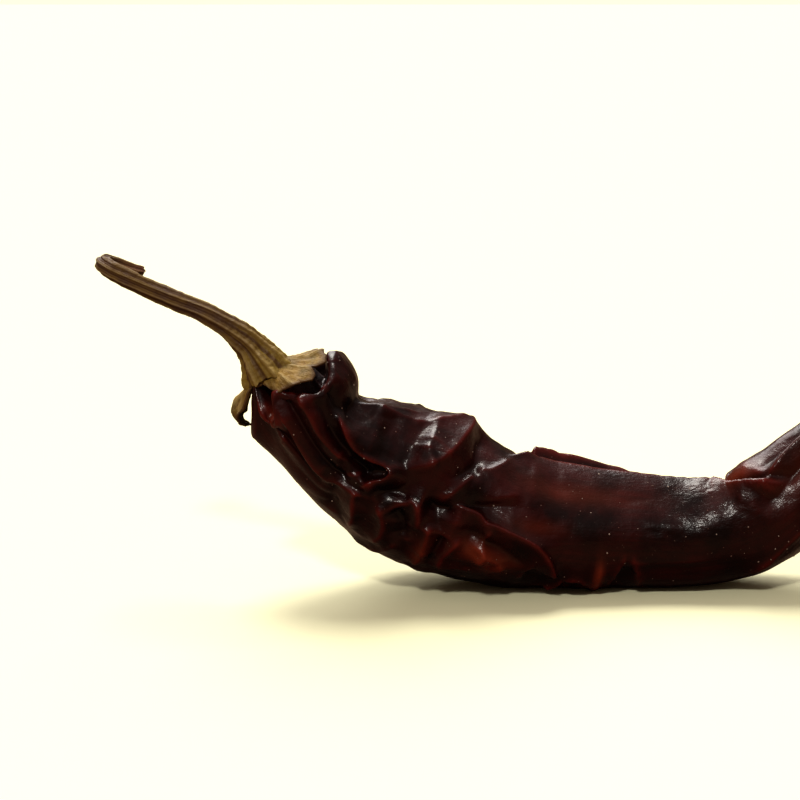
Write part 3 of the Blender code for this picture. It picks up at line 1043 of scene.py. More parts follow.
POD_FOLDS = {
    "trough behind the top edge": Fold(
        ((50, 104), (62, 103), (80, 102), (96, 102), (106, 98)), -5.0, 2.4, 2.6, 1.0
    ),
    "far edge of the trough": Fold(
        ((56, 112), (62, 116), (70, 119), (82, 119), (96, 114)), 5.0, 2.0, 1.8, 0.3, 0.2, (0.08, 0.75)
    ),
    "top edge": Fold(
        ((47, 72), (53, 82), (60, 88), (73, 87), (90, 81), (101, 73), (111, 48), (119, 16)),
        2.7, 1.0, 3.6, 0.12, -0.6
    ),
    "panel's flat": Fold(((56, 52), (66, 50), (80, 48), (98, 42)), -1.7, 5.0, 6.0, 5.0, 0.0, (0.25, 0.3)),
    "waist behind the top lobe": Fold(
        ((9, 24), (8.5, 50), (9, 80), (10, 110), (12, 140)), -2.8, 2.2, 3.0, 0.8
    ),
    "pinch under the top lobe": Fold(
        ((0, 38), (3, 34), (7, 30), (12, 30)), -1.5, 1.6, 2.0, 0.5, 0.0, (0.3, 0.4)
    ),
    "crown's rim": Fold(
        ((-1.4, -50), (-1.2, -30), (-1.0, -8), (-0.8, 12), (-0.6, 24)),
        0.55, 0.6, 0.9, 0.12, 0.0, (0.1, 0.2)
    ),
    "orange ridge": Fold(((-4, -46), (-1.5, -40), (0.5, -37), (3, -35)), 1.1, 1.2, 0.7, 0.15, 0.4),
    "lower crest": Fold(((1.7, -40), (2.9, -50), (3.5, -74), (2.3, -92)), 0.7, 1.6, 1.2, 0.3),
    "first furrow": Fold(
        ((0, -44), (4.3, -31), (7.6, -28), (11, -33), (15.6, -39)), -2.0, 1.2, 1.6, 0.25, 0.3, (0.1, 0.3)
    ),
    "first furrow's lip": Fold(
        ((2, -22), (6, -21), (10, -25), (16, -31)), 1.1, 1.6, 1.1, 0.3, 0.5, (0.3, 0.3)
    ),
    "second furrow": Fold(
        ((-0.4, -14), (2.9, -8), (9.2, -11), (13.8, -14), (18.4, -15)),
        -1.9, 1.0, 1.5, 0.25, 0.2, (0.15, 0.2)
    ),
    "third ridge": Fold(
        ((0, 4), (3.5, 6), (8.4, 3), (12.8, 2), (16.4, 3)), 1.2, 1.4, 1.3, 0.25, 0.5, (0.2, 0.3)
    ),
    "third furrow": Fold(((1.5, 16), (6, 14), (11, 10), (15, 9)), -1.4, 1.2, 1.3, 0.25, 0.0, (0.2, 0.2)),
    "hooked fold": Fold(
        ((5.4, 30), (9, 24), (13, 17), (17.2, 15), (21.0, 16.5), (23.2, 12), (22.8, 3), (20.4, -6),
         (19.0, -17)),
        2.3, 2.4, 0.9, 0.3, 0.9, (0.1, 0.15)
    ),
    "pocket in the hook": Fold(
        ((12, 7), (16, 5), (18.8, 2), (19.2, -8)), -2.6, 1.2, 1.4, 0.3, 0.0, (0.3, 0.25)
    ),
    "behind the hook": Fold(
        ((17.5, 24), (24, 22), (27, 12), (25.5, 0), (22.4, -12)), -1.5, 1.3, 1.8, 0.4, 0.0, (0.25, 0.25)
    ),
    "panel's dent": Fold(((15, 46), (22, 45), (28, 42)), -1.9, 4.0, 4.0, 4.0, 0.0, (0.3, 0.3)),
    "panel's top edge": Fold(
        ((7, 50), (11, 68), (17.6, 66), (24, 66), (30.6, 76), (36.6, 96)),
        1.3, 1.8, 2.6, 0.3, 0.0, (0.15, 0.1)
    ),
    "panel's low edge": Fold(((21, 19), (25, 20), (28.4, 27), (31, 33)), 0.9, 2.2, 1.2, 0.4),
    "step above the belly": Fold(
        ((36.8, 98), (36.5, 80), (35, 62), (33, 44), (30, 30), (27, 19)),
        2.2, 3.2, 3.0, 0.2, 0.0, (0.05, 0.25)
    ),
    "step's foot": Fold(
        ((41, 88), (39.4, 66), (39.6, 50), (37, 34), (34, 24)), -2.0, 2.4, 1.6, 0.4, 0.0, (0.2, 0.3)
    ),
    "facet's low edge": Fold(((40.2, 47), (43.4, 48), (46.8, 58), (50.2, 76)), 0.9, 1.0, 2.4, 0.25),
    "first streak": Fold(
        ((34, 5), (36.6, 18), (38.6, 32), (40.6, 42)), 1.1, 1.6, 1.4, 0.3, 0.0, (0.25, 0.25)
    ),
    "second streak": Fold(
        ((42.5, 18), (46, 25), (50, 33), (54.5, 41)), 0.9, 1.8, 1.6, 0.35, 0.0, (0.3, 0.3)
    ),
    "valley": Fold(
        ((31, 3), (35, 4), (40.2, 11), (45, 20), (51, 27), (60, 30)),
        -2.2, 1.6, 2.4, 0.5, 0.0, (0.15, 0.4)
    ),
    "crumpled fold": Fold(
        ((36.5, 8), (39.8, 10), (43.8, 10), (46.4, 6), (50.4, 5), (54.8, 2), (58.2, -3), (60.8, -13),
         (62.4, -27), (63.4, -42)),
        2.5, 1.1, 3.4, 0.25, -0.8, (0.12, 0.1)
    ),
    "under the crumple": Fold(
        ((40, -3), (45, -4), (50, -8), (55, -16), (58, -28)), -1.6, 2.0, 1.6, 0.6, 0.0, (0.25, 0.25)
    ),
    "crumple's shelf": Fold(
        ((44, -12), (48, -15), (52, -24), (54, -36)), 1.4, 1.2, 1.8, 0.3, -0.4, (0.25, 0.25)
    ),
    "crumple's cross fold": Fold(
        ((49, 4), (47.6, -6), (48.6, -18), (46.8, -30)), 1.2, 1.2, 1.0, 0.25, 0.0, (0.2, 0.3)
    ),
    "tongue's dent": Fold(((57, -34), (60, -40), (62, -52)), -1.5, 1.5, 1.2, 0.5),
    "tongue's lip": Fold(
        ((61.4, -54), (63.4, -46), (66, -37), (69.4, -37), (72, -58)), 1.4, 1.0, 1.3, 0.2, 0.4, (0.1, 0.2)
    ),
    "tongue's shade": Fold(((66, -52), (68, -47), (70, -53)), -1.4, 1.3, 1.3, 0.4),
    "sliver": Fold(
        ((72.2, -66), (72.4, -50), (72.8, -32), (73, -14)), 0.9, 0.7, 0.9, 0.12, 0.0, (0.1, 0.3)
    ),
    "hollow by the sliver": Fold(((76.4, -34), (78.6, -36), (81, -34)), -2.2, 2.2, 2.2, 1.6),
    "low crease": Fold(
        ((74, -12), (82.4, -17), (92.4, -14), (99.4, -12)), 0.6, 1.8, 1.2, 0.4, 0.0, (0.25, 0.4)
    ),
    "low crease's shade": Fold(((80, -24), (92, -22), (104, -24)), -0.7, 2.4, 2.0, 1.0),
    "first low ridge": Fold(
        ((35.2, -8), (36.4, -22), (37.4, -38), (37.0, -56)), 1.5, 1.4, 1.2, 0.25, 0.0, (0.15, 0.2)
    ),
    "second low ridge": Fold(
        ((42.8, -8), (41.6, -22), (41.2, -34), (42.2, -48)), 1.3, 1.2, 1.3, 0.25, 0.0, (0.2, 0.25)
    ),
    "between the low ridges": Fold(((39, -12), (39.2, -26), (39.4, -44)), -1.4, 1.0, 1.0, 0.3),
    "low peak": Fold(
        ((27.6, 2), (30.6, -1), (32.4, -8), (33.6, -20)), 1.6, 1.7, 1.3, 0.25, 0.0, (0.2, 0.25)
    ),
    "peak's hollow": Fold(((27, -10), (30, -18), (32.6, -32)), -1.7, 1.4, 1.5, 0.4),
    "knuckle": Fold(
        ((19.0, -15), (19.6, -24), (21.4, -36), (22.8, -48), (23.8, -72)),
        1.7, 1.6, 1.8, 0.3, 0.0, (0.1, 0.3)
    ),
    "knuckle's hollow": Fold(((15.4, -24), (16.6, -40), (18.4, -58)), -1.1, 1.8, 1.6, 0.6),
    "under the hook": Fold(((20.8, -11), (24.4, -4), (27.4, 1), (31.6, 3)), -1.3, 1.2, 1.4, 0.4),
    "facet by the knuckle": Fold(
        ((23.6, -16), (26.6, -24), (28.2, -38), (27.6, -56)), 1.3, 1.6, 1.4, 0.3
    ),
    "low long fold": Fold(((24, -74), (28.8, -66), (31, -47), (31.6, -34)), 1.0, 1.4, 1.6, 0.35),
    "stripe one": Fold(((60, 98), (72, 99), (86, 95), (98, 90)), 0.5, 0.9, 0.9, 0.2),
    "stripe two": Fold(((56, 134), (70, 138), (84, 140)), 1.0, 1.2, 1.2, 0.3),
    "notch under the tail": Fold(
        ((99, 92), (106, 76), (111, 60), (115, 44), (120, 26)), -2.2, 1.3, 1.6, 0.3, 0.0, (0.2, 0.35)
    ),
    "tail's ridge": Fold(
        ((111, 34), (114, 44), (118, 50), (126, 58), (146, 66)), 2.0, 1.6, 2.0, 0.2, 0.0, (0.1, 0.3)
    ),
    "tail's hollow": Fold(((113, 62), (120, 70), (130, 80), (144, 88)), -1.6, 2.0, 2.0, 0.6),
    "tail's flank": Fold(((108, 20), (116, 26), (128, 34), (142, 40)), -1.3, 1.8, 2.0, 0.5),
    "tail's crease": Fold(((100, -55), (106, -30), (114, -20), (130, -10), (148, 0)), 1.3, 1.6, 2.4, 0.4),
    "far furrow": Fold(((14, 170), (34, 196), (58, 200), (84, 190)), -2.8, 3.0, 2.4, 0.7),
    "far ridge": Fold(((20, 214), (44, 222), (70, 214), (100, 200)), 1.9, 2.4, 2.4, 0.3, 0.6),
    "far crumple": Fold(((30, 150), (42, 160), (52, 172), (60, 190), (64, 214)), 2.0, 1.4, 2.6, 0.3, 0.6),
    "far hollow": Fold(((40, 178), (50, 188), (54, 206)), -1.8, 2.2, 2.0, 0.8),
    "far step": Fold(((26, 118), (28, 140), (26, 166), (22, 196)), 1.6, 1.8, 2.6, 0.3),
    "far tail furrow": Fold(((92, 165), (112, 178), (134, 186), (152, 190)), -2.0, 2.2, 2.2, 0.5),
    "far tail ridge": Fold(((100, 150), (118, 158), (138, 160), (152, 158)), 1.2, 1.6, 1.6, 0.3),
}

POD_GLOWS = (
    Glow(-2.5, -38, 3.0, 5, 0.7),
    Glow(-7.0, -8, 3.0, 24, 0.5),
    Glow(72.6, -44, 0.9, 22, 0.9),
    Glow(47.0, -16, 4.0, 9, 0.42),
    Glow(52.0, -26, 4.0, 10, 0.35),
    Glow(37.0, -34, 1.6, 16, 0.30),
    Glow(107.0, 78, 6.0, 18, 0.40),
    Glow(58.0, 14, 6.0, 7, 0.16),
    Glow(66.0, 52, 14.0, 12, 0.16),
    Glow(132.0, 20, 14.0, 30, 0.30),
    Glow(60.0, 200, 9.0, 18, 0.30),
    Glow(118.0, 190, 9.0, 22, 0.32),
)


# ---------------------------------------------------------------------------------------------------------
# The calyx
# ---------------------------------------------------------------------------------------------------------


@dataclass
class Calyx:
    """The papery cap over the crown, torn open on its near side and hanging in a strip on its left.

    Angles go round the stem from the pod's top lobe (0) to the near side (90).

    Attributes:
        centre: The sheet's middle.
        axis: The stem's direction there.
        profile: Distance along the sheet, radius and drop.
        edge: Angle, and the distance along the sheet at which it is torn.
        steps: Rings on each face of the sheet.
        sides: Points in a ring.
        thickness: The sheet's thickness.
        foot: The stem's radius there.
        lift: How far the strip side stands off the crown for each millimetre past the foot.
        veins: How many veins run down it.
        seed: What fixes its crumples.
    """

    centre: tuple = (-59.4, -6.4, 48.1)
    axis: tuple = (-0.58, -0.11, 0.81)
    profile: tuple = (
        (0.0, 0.0, 0.0),
        (3.0, 3.0, 0.2),
        (6.0, 5.7, 1.5),
        (9.0, 8.2, 3.1),
        (12.0, 10.7, 4.4),
        (15.0, 12.3, 6.6),
        (18.0, 12.4, 9.4),
        (20.5, 11.4, 11.6),
    )
    edge: tuple = (
        (0.0, 12.6),
        (20.0, 13.4),
        (32.0, 12.2),
        (44.0, 13.8),
        (58.0, 12.0),
        (66.0, 11.8),
        (78.0, 10.0),
        (86.0, 9.4),
        (94.0, 7.4),
        (106.0, 5.8),
        (130.0, 5.2),
        (146.0, 6.0),
        (156.0, 11.0),
        (166.0, 15.4),
        (178.0, 18.6),
        (192.0, 19.4),
        (204.0, 16.0),
        (214.0, 16.6),
        (226.0, 13.2),
        (240.0, 14.4),
        (254.0, 12.4),
        (275.0, 15.2),
        (292.0, 12.6),
        (315.0, 13.6),
        (336.0, 11.6),
        (360.0, 12.6),
    )
    steps: int = 34
    sides: int = 320
    thickness: float = 0.42
    foot: float = 4.4
    lift: float = 0.2
    veins: int = 11
    seed: int = 21

    def torn_edge(self, degrees: np.ndarray) -> np.ndarray:
        """How far the sheet reaches at each angle, with its small teeth."""
        turns = degrees / 360.0
        teeth = 0.55 * patchy(np.zeros_like(turns), turns, (1.0, 34), self.seed)
        teeth += 0.32 * patchy(np.zeros_like(turns), turns, (1.0, 90), self.seed + 1)
        return smooth_through(*zip(*self.edge), degrees) + teeth

    def sheet(
        self, share: float, depth: float, degrees: np.ndarray, reach: np.ndarray
    ) -> tuple[np.ndarray, np.ndarray]:
        """One ring of the sheet.

        Args:
            share: The share of the way from the middle to the torn edge.
            depth: How far below the sheet's outer face.
            degrees: The angles round the stem.
            reach: How far the sheet reaches at each angle.

        Returns:
            The ring's points in millimetres, and how much each is on a vein.
        """
        axis = unit(np.array(self.axis))
        near = unit(np.array([0.0, -1.0, 0.0]) + axis * axis[1])
        lobe = np.cross(axis, near)
        turn = np.radians(degrees)
        table = np.array(self.profile)
        along = reach * share
        radius, drop = smooth_through(table[:, 0], table[:, 1:], along).T
        next_radius, next_drop = smooth_through(table[:, 0], table[:, 1:], along + 0.2).T
        outward, down = next_radius - radius, next_drop - drop
        scale = np.maximum(np.hypot(outward, down), 1e-9)
        outward, down = outward / scale, down / scale
        vein, rise = self.relief(share, along, degrees)
        radius = radius + (rise - depth) * down
        lifted = self.lift * np.maximum(radius - self.foot, 0) * np.maximum(-np.cos(turn), 0)
        drop = drop - (rise - depth) * outward - lifted
        out = np.cos(turn)[:, None] * lobe + np.sin(turn)[:, None] * near
        return np.array(self.centre) + radius[:, None] * out - drop[:, None] * axis, vein

    def relief(self, share: float, along: np.ndarray, degrees: np.ndarray) -> tuple[np.ndarray, np.ndarray]:
        """The veins, waves and crumples at one ring.

        Args:
            share: The share of the way to the torn edge.
            along: The distance along the sheet at each angle.
            degrees: The angles round the stem.

        Returns:
            How much each point is on a vein, and how far it is lifted in millimetres.
        """
        turns = degrees / 360.0
        outer = eased((along - 3.5) / 5.0)
        wander = 0.16 * patchy(along, turns, (5.0, 7), self.seed + 2)
        vein = np.maximum(np.cos(2 * np.pi * (self.veins * turns + wander)), 0) ** 5
        waves = 0.55 * patchy(along, turns, (5.5, 10), self.seed + 3)
        crumples = 0.24 * patchy(along, turns, (1.7, 40), self.seed + 4)
        crumples += 0.10 * patchy(along, turns, (0.7, 96), self.seed + 5)
        strip = np.exp(-(((degrees - 182.0) / 30.0) ** 2))
        uneven = 0.3 + patchy(along * 0, turns, (1.0, 9), self.seed + 6)
        curl = 1.3 * eased((share - 0.72) / 0.28) ** 2 * uneven
        curl = curl * (1 - strip) - 2.2 * strip * eased((share - 0.45) / 0.55) ** 2
        return vein * outer, outer * (0.30 * vein + waves + crumples + curl)

    def grid(self) -> SkinGrid:
        """The whole sheet, out along its outer face and back along its inner one."""
        degrees = np.arange(self.sides) * 360.0 / self.sides
        reach = self.torn_edge(degrees)
        shares = np.linspace(1 / self.steps, 1, self.steps)
        faces = [(share, 0.0) for share in shares] + [(share, self.thickness) for share in shares[::-1]]
        rings, veins, rims = [], [], []
        for share, depth in faces:
            points, vein = self.sheet(share, depth, degrees, reach)
            rings.append(points)
            veins.append(vein if not depth else vein * 0)
            rims.append(np.full(self.sides, float(eased(np.array((share - 0.86) / 0.14)))))
        axis = unit(np.array(self.axis))
        middle = np.array(self.centre)
        along = np.concatenate([shares, 1 + shares])
        grid = SkinGrid(np.array(rings), np.stack([middle, middle - self.thickness * axis]), along)
        grid.masks["ridge"] = np.array(veins)
        grid.masks["rim"] = np.array(rims) * 0.8
        return grid

    def build(self, bench: Bench, finish: CalyxFinish, effects: SharedEffects) -> bpy.types.Object:
        """Make the calyx and tie it to its CAD node.

        Args:
            bench: The pepper's place.
            finish: The sheet's finish.
            effects: The shared shader groups.

        Returns:
            The finished calyx.
        """
        piece = self.grid().to_object("calyx_sheet", bench)
        dress(piece, finish.material(effects))
        hand_over(piece, "calyx")
        return piece


# ---------------------------------------------------------------------------------------------------------
# Geometry Nodes: the stem and the pod's pimples
# ---------------------------------------------------------------------------------------------------------


class Recipe:
    """A Geometry Nodes tree with named inputs, which turns an object into a plain mesh."""

    def __init__(self, name: str) -> None:
        """Start an empty tree with its geometry sockets."""
        self.tree = bpy.data.node_groups.new(name, "GeometryNodeTree")
        self.tree.interface.new_socket("Geometry", in_out="INPUT", socket_type="NodeSocketGeometry")
        self.tree.interface.new_socket("Geometry", in_out="OUTPUT", socket_type="NodeSocketGeometry")
        self.shades = Shades(self.tree)
        self.values: dict[str, object] = {}
        self.given = self.tree.nodes.new("NodeGroupInput")

    def take(self, name: str, kind: str, value: object) -> bpy.types.NodeSocket:
        """Add a named input.

        Args:
            name: The input's name.
            kind: Its socket type.
            value: What it is set to.

        Returns:
            The socket that gives it inside the tree.
        """
        socket = self.tree.interface.new_socket(name, in_out="INPUT", socket_type=kind)
        self.values[socket.identifier] = value
        return self.given.outputs[name]

    def end(self, geometry: bpy.types.NodeSocket, material: bpy.types.NodeSocket) -> None:
        """Realise the instances, set the material and close the tree.

        Args:
            geometry: What the tree has made.
            material: The socket that gives its material.
        """
        real = self.shades.node("GeometryNodeRealizeInstances", {"Geometry": geometry}).outputs[0]
        done = self.shades.node("GeometryNodeSetMaterial", {"Geometry": real, "Material": material})
        out = self.tree.nodes.new("NodeGroupOutput")
        self.tree.links.new(done.outputs[0], out.inputs["Geometry"])

    def bake(self, source: bpy.types.Object, name: str) -> bpy.types.Object:
        """Run the tree on an object and keep the result as a plain mesh.

        Args:
            source: The object to run on. It is removed.
            name: The new object's name.

        Returns:
            The new object, at the origin.
        """
        modifier = source.modifiers.new("recipe", "NODES")
        modifier.node_group = self.tree
        for identifier, value in self.values.items():
            modifier[identifier] = value
        bpy.context.view_layer.update()
        graph = bpy.context.evaluated_depsgraph_get()
        mesh = bpy.data.meshes.new_from_object(source.evaluated_get(graph), depsgraph=graph)
        mesh.name = name
        source.modifiers.clear()
        bpy.data.objects.remove(source)
        made = bpy.data.objects.new(name, mesh)
        bpy.context.collection.objects.link(made)
        return made


@dataclass
class Stem:
    """The ribbed stem, from its flared foot on the calyx round its hook to its ragged cut end.

    Attributes:
        line: x, y, z and radius of the points on its middle line.
        rings: Rings along it.
        sides: Points in a ring.
        ribs: How many ribs it has.
        rib_depth: Their depth, as a share of the radius.
        twist: Turns that the ribs make from one end to the other.
    """

    line: tuple = (
        (-58.2, -6.6, 46.6, 5.4),
        (-60.5, -6.3, 50.5, 3.9),
        (-62.3, -6.2, 52.9, 3.1),
        (-66.0, -6.0, 56.0, 2.4),
        (-71.5, -5.5, 59.4, 2.0),
        (-77.7, -4.5, 61.9, 1.85),
        (-82.9, -3.5, 64.1, 1.8),
        (-88.1, -2.8, 66.5, 1.75),
        (-91.2, -2.2, 68.0, 1.7),
        (-92.8, -0.4, 68.9, 1.55),
        (-92.5, 1.4, 68.9, 1.5),
        (-91.0, 2.6, 68.3, 1.5),
        (-88.2, 3.2, 67.2, 1.5),
        (-85.3, 3.4, 66.1, 1.55),
    )
    rings: int = 420
    sides: int = 150
    ribs: int = 7
    rib_depth: float = 0.10
    twist: float = 0.22

    def path(self, bench: Bench) -> bpy.types.Object:
        """The middle line as a curve, whose points carry the radius in metres."""
        table = np.array(self.line)
        spine = Spine(table[:, :3])
        gone = np.concatenate([[0.0], np.cumsum(np.linalg.norm(np.diff(table[:, :3], axis=0), axis=1))])
        along = np.linspace(0, spine.length, self.rings)
        radius = smooth_through(gone * spine.length / gone[-1], table[:, 3], along)
        places = bench.metres(spine.frame(along)[0])
        curve = bpy.data.curves.new("stem_line", "CURVE")
        curve.dimensions = "3D"
        spline = curve.splines.new("POLY")
        spline.points.add(self.rings - 1)
        for point, place, size in zip(spline.points, places, radius * MM):
            point.co = (*place, 1.0)
            point.radius = float(size)
        made = bpy.data.objects.new("stem_line", curve)
        bpy.context.collection.objects.link(made)
        return made

    def recipe(self, bark: bpy.types.Material) -> Recipe:
        """The nodes that sweep a ring along the middle line and raise the ribs.

        Args:
            bark: The stem's material.

        Returns:
            The finished recipe.
        """
        recipe = Recipe("ribbed_stem")
        shades = recipe.shades
        sides = recipe.take("Sides", "NodeSocketInt", self.sides)
        ribs = recipe.take("Ribs", "NodeSocketFloat", float(self.ribs))
        depth = recipe.take("Rib Depth", "NodeSocketFloat", self.rib_depth)
        twist = recipe.take("Twist", "NodeSocketFloat", self.twist)
        material = recipe.take("Bark", "NodeSocketMaterial", bark)
        line, along = self._kept(shades, recipe.given.outputs["Geometry"])
        circle = shades.node("GeometryNodeCurvePrimitiveCircle", {"Resolution": sides, "Radius": 1.0})
        ring, around = self._kept(shades, circle.outputs[0])
        radius = shades.node("GeometryNodeInputRadius").outputs[0]
        line, size = self._held(shades, line, radius)
        swept = {"Curve": line, "Profile Curve": ring, "Scale": size, "Fill Caps": True}
        tube = shades.node("GeometryNodeCurveToMesh", swept).outputs[0]
        turned = shades.maths("ADD", around, shades.maths("MULTIPLY", along, twist))
        turned_ribs = shades.maths("MULTIPLY", turned, ribs)
        wave = shades.maths("COSINE", shades.maths("MULTIPLY", turned_ribs, 2 * math.pi))
        fine = shades.maths("COSINE", shades.maths("MULTIPLY", turned, 2 * math.pi * 23))
        where = shades.node("GeometryNodeInputPosition").outputs[0]
        rough = shades.maths("SUBTRACT", shades.noise(where, 900.0, 3.0), 0.5)
        knots = shades.maths("SUBTRACT", shades.noise(where, 240.0, 2.0), 0.5)
        raised = shades.maths("ABSOLUTE", shades.maths("MULTIPLY_ADD", wave, 0.5, 0.5))
        sharp = shades.maths("SUBTRACT", shades.maths("POWER", raised, 1.4), 0.45)
        ribbed = shades.maths("MULTIPLY", sharp, depth)
        lift = shades.total((ribbed, 2.2), (fine, 0.032), (rough, 0.16), (knots, 0.34))
        lift = shades.maths("MULTIPLY", lift, size)
        normal = shades.node("GeometryNodeInputNormal").outputs[0]
        shift = shades.node("ShaderNodeVectorMath", {0: normal, "Scale": lift}, operation="SCALE").outputs[0]
        moved = shades.node("GeometryNodeSetPosition", {"Geometry": tube, "Offset": shift}).outputs[0]
        moved = self._stored(shades, moved, "rib", shades.ramp(wave, 0.55, 1.0))
        # This mask carries the bark's painted shade in the rib grooves.
        moved = self._stored(shades, moved, "groove", shades.ramp(wave, -0.35, -0.95))
        place = shades.node("ShaderNodeCombineXYZ", {"X": along, "Y": around}).outputs[0]
        moved = shades.node(
            "GeometryNodeStoreNamedAttribute",
            {"Geometry": moved, "Name": "UVMap", "Value": place},
            data_type="FLOAT2",
            domain="CORNER",
        ).outputs[0]
        smooth = shades.node("GeometryNodeSetShadeSmooth", {"Geometry": moved}).outputs[0]
        recipe.end(smooth, material)
        return recipe

    @staticmethod
    def _kept(
        shades: Shades, curve: bpy.types.NodeSocket
    ) -> tuple[bpy.types.NodeSocket, bpy.types.NodeSocket]:
        """Capture how far along its curve each point is."""
        factor = shades.node("GeometryNodeSplineParameter").outputs["Factor"]
        return Stem._held(shades, curve, factor)

    @staticmethod
    def _held(
        shades: Shades, curve: bpy.types.NodeSocket, value: bpy.types.NodeSocket
    ) -> tuple[bpy.types.NodeSocket, bpy.types.NodeSocket]:
        """Capture a value on a curve's points, and return the curve and the value's socket."""
        capture = shades.node("GeometryNodeCaptureAttribute")
        capture.capture_items.new("FLOAT", "Value")
        shades.tree.links.new(curve, capture.inputs["Geometry"])
        shades.tree.links.new(value, capture.inputs["Value"])
        return capture.outputs["Geometry"], capture.outputs["Value"]

    @staticmethod
    def _stored(
        shades: Shades, mesh: bpy.types.NodeSocket, name: str, value: bpy.types.NodeSocket
    ) -> bpy.types.NodeSocket:
        """Store a value on the mesh under a name, for the material."""
        inputs = {"Geometry": mesh, "Name": name, "Value": value}
        settings = {"data_type": "FLOAT", "domain": "POINT"}
        return shades.node("GeometryNodeStoreNamedAttribute", inputs, **settings).outputs[0]

    def build(self, bench: Bench, finish: StemFinish, effects: SharedEffects) -> bpy.types.Object:
        """Make the stem and tie it to its CAD node.

        Args:
            bench: The pepper's place.
            finish: The bark's finish.
            effects: The shared shader groups.

        Returns:
            The finished stem.
        """
        piece = self.recipe(finish.material(effects)).bake(self.path(bench), "stem_bark")
        self.tear_end(piece, bench)
        hand_over(piece, "stem")
        return piece

    def tear_end(self, piece: bpy.types.Object, bench: Bench) -> None:
        """Pull the cut end's points in and out, so that it looks torn.

        Args:
            piece: The finished stem.
            bench: The pepper's place.
        """
        cut = bench.metres(np.array(self.line[-1][:3]))
        before = bench.metres(np.array(self.line[-2][:3]))
        onward = unit(cut - before)
        points = np.empty(len(piece.data.vertices) * 3, np.float32)
        piece.data.vertices.foreach_get("co", points)
        points = points.reshape(-1, 3)
        gone = (points - cut) @ onward
        close = np.linalg.norm(points - cut, axis=1) < 6 * MM
        share = eased((gone + 1.4 * MM) / (1.4 * MM)) * close
        rng = np.random.default_rng(8)
        spokes = rng.normal(size=(3, 3))
        rag = sum(np.sin(points @ spoke * 1700.0) for spoke in spokes) / 3
        points += (share * (rag * 0.9 - 0.3) * MM)[:, None] * onward
        piece.data.vertices.foreach_set("co", points.reshape(-1))
        piece.data.update()


@dataclass
class Pimples:
    """Tiny pale specks of dry dust and pimples that stand on the pod's skin.

    Attributes:
        density: How many there are on a square metre.
        smallest: The smallest one's radius, in metres.
        largest: The largest one's radius, in metres.
        flatness: Their height as a share of their width.
        seed: What fixes where they are.
    """

    density: float = 30000.0
    smallest: float = 0.00006
    largest: float = 0.00019
    flatness: float = 0.55
    seed: int = 5

    def recipe(self, speck: bpy.types.Material) -> Recipe:
        """The nodes that scatter the specks.

        Args:
            speck: Their material.

        Returns:
            The finished recipe.
        """
        recipe = Recipe("pimples")
        shades = recipe.shades
        density = recipe.take("Density", "NodeSocketFloat", self.density)
        smallest = recipe.take("Smallest", "NodeSocketFloat", self.smallest)
        largest = recipe.take("Largest", "NodeSocketFloat", self.largest)
        flatness = recipe.take("Flatness", "NodeSocketFloat", self.flatness)
        seed = recipe.take("Seed", "NodeSocketInt", self.seed)
        material = recipe.take("Speck", "NodeSocketMaterial", speck)
        scatter = shades.node(
            "GeometryNodeDistributePointsOnFaces",
            {"Mesh": recipe.given.outputs["Geometry"], "Density": density, "Seed": seed},
        )
        ball = shades.node("GeometryNodeMeshIcoSphere", {"Radius": 1.0, "Subdivisions": 2}).outputs[0]
        sizes = {2: smallest, 3: largest, "Seed": seed}
        size = shades.node("FunctionNodeRandomValue", sizes, data_type="FLOAT").outputs[1]
        scale = shades.node(
            "ShaderNodeCombineXYZ", {"X": size, "Y": size, "Z": shades.maths("MULTIPLY", size, flatness)}
        ).outputs[0]
        points, rotation = scatter.outputs["Points"], scatter.outputs["Rotation"]
        inputs = {"Points": points, "Instance": ball, "Rotation": rotation, "Scale": scale}
        placed = shades.node("GeometryNodeInstanceOnPoints", inputs).outputs[0]
        smooth = shades.node("GeometryNodeSetShadeSmooth", {"Geometry": placed}).outputs[0]
        recipe.end(smooth, material)
        return recipe

    def build(self, skin: bpy.types.Object, finish: SpeckFinish) -> bpy.types.Object:
        """Scatter the specks over the skin and tie them to its CAD node.

        Args:
            skin: The finished pod.
            finish: The specks' finish.

        Returns:
            The finished specks.
        """
        ground = bpy.data.objects.new("speck_ground", skin.data.copy())
        bpy.context.collection.objects.link(ground)
        piece = self.recipe(finish.material()).bake(ground, "pod_specks")
        hand_over(piece, "pod")
        return piece


# ---------------------------------------------------------------------------------------------------------
# The studio
# ---------------------------------------------------------------------------------------------------------


@dataclass(frozen=True)
class Window:
    """A wide soft light that comes evenly from one side.

    Attributes:
        name: Its name.
        towards: The direction from the pepper to the light.
        width: How wide it looks from the pepper, in degrees.
        power: Its strength in watts for each square metre.
        tone: Its colour.
    """

    name: str
    towards: tuple[float, float, float]
    width: float
    power: float
    tone: tuple[float, float, float] = (1.0, 0.97, 0.90)

    def build(self) -> None:
        """Hang the light."""
        light = bpy.data.lights.new(self.name, "SUN")
        light.angle = math.radians(self.width)
        light.energy = self.power
        light.color = self.tone
        made = bpy.data.objects.new(self.name, light)
        bpy.context.collection.objects.link(made)
        made.rotation_euler = (-Vector(self.towards)).to_track_quat("-Z", "Y").to_euler()


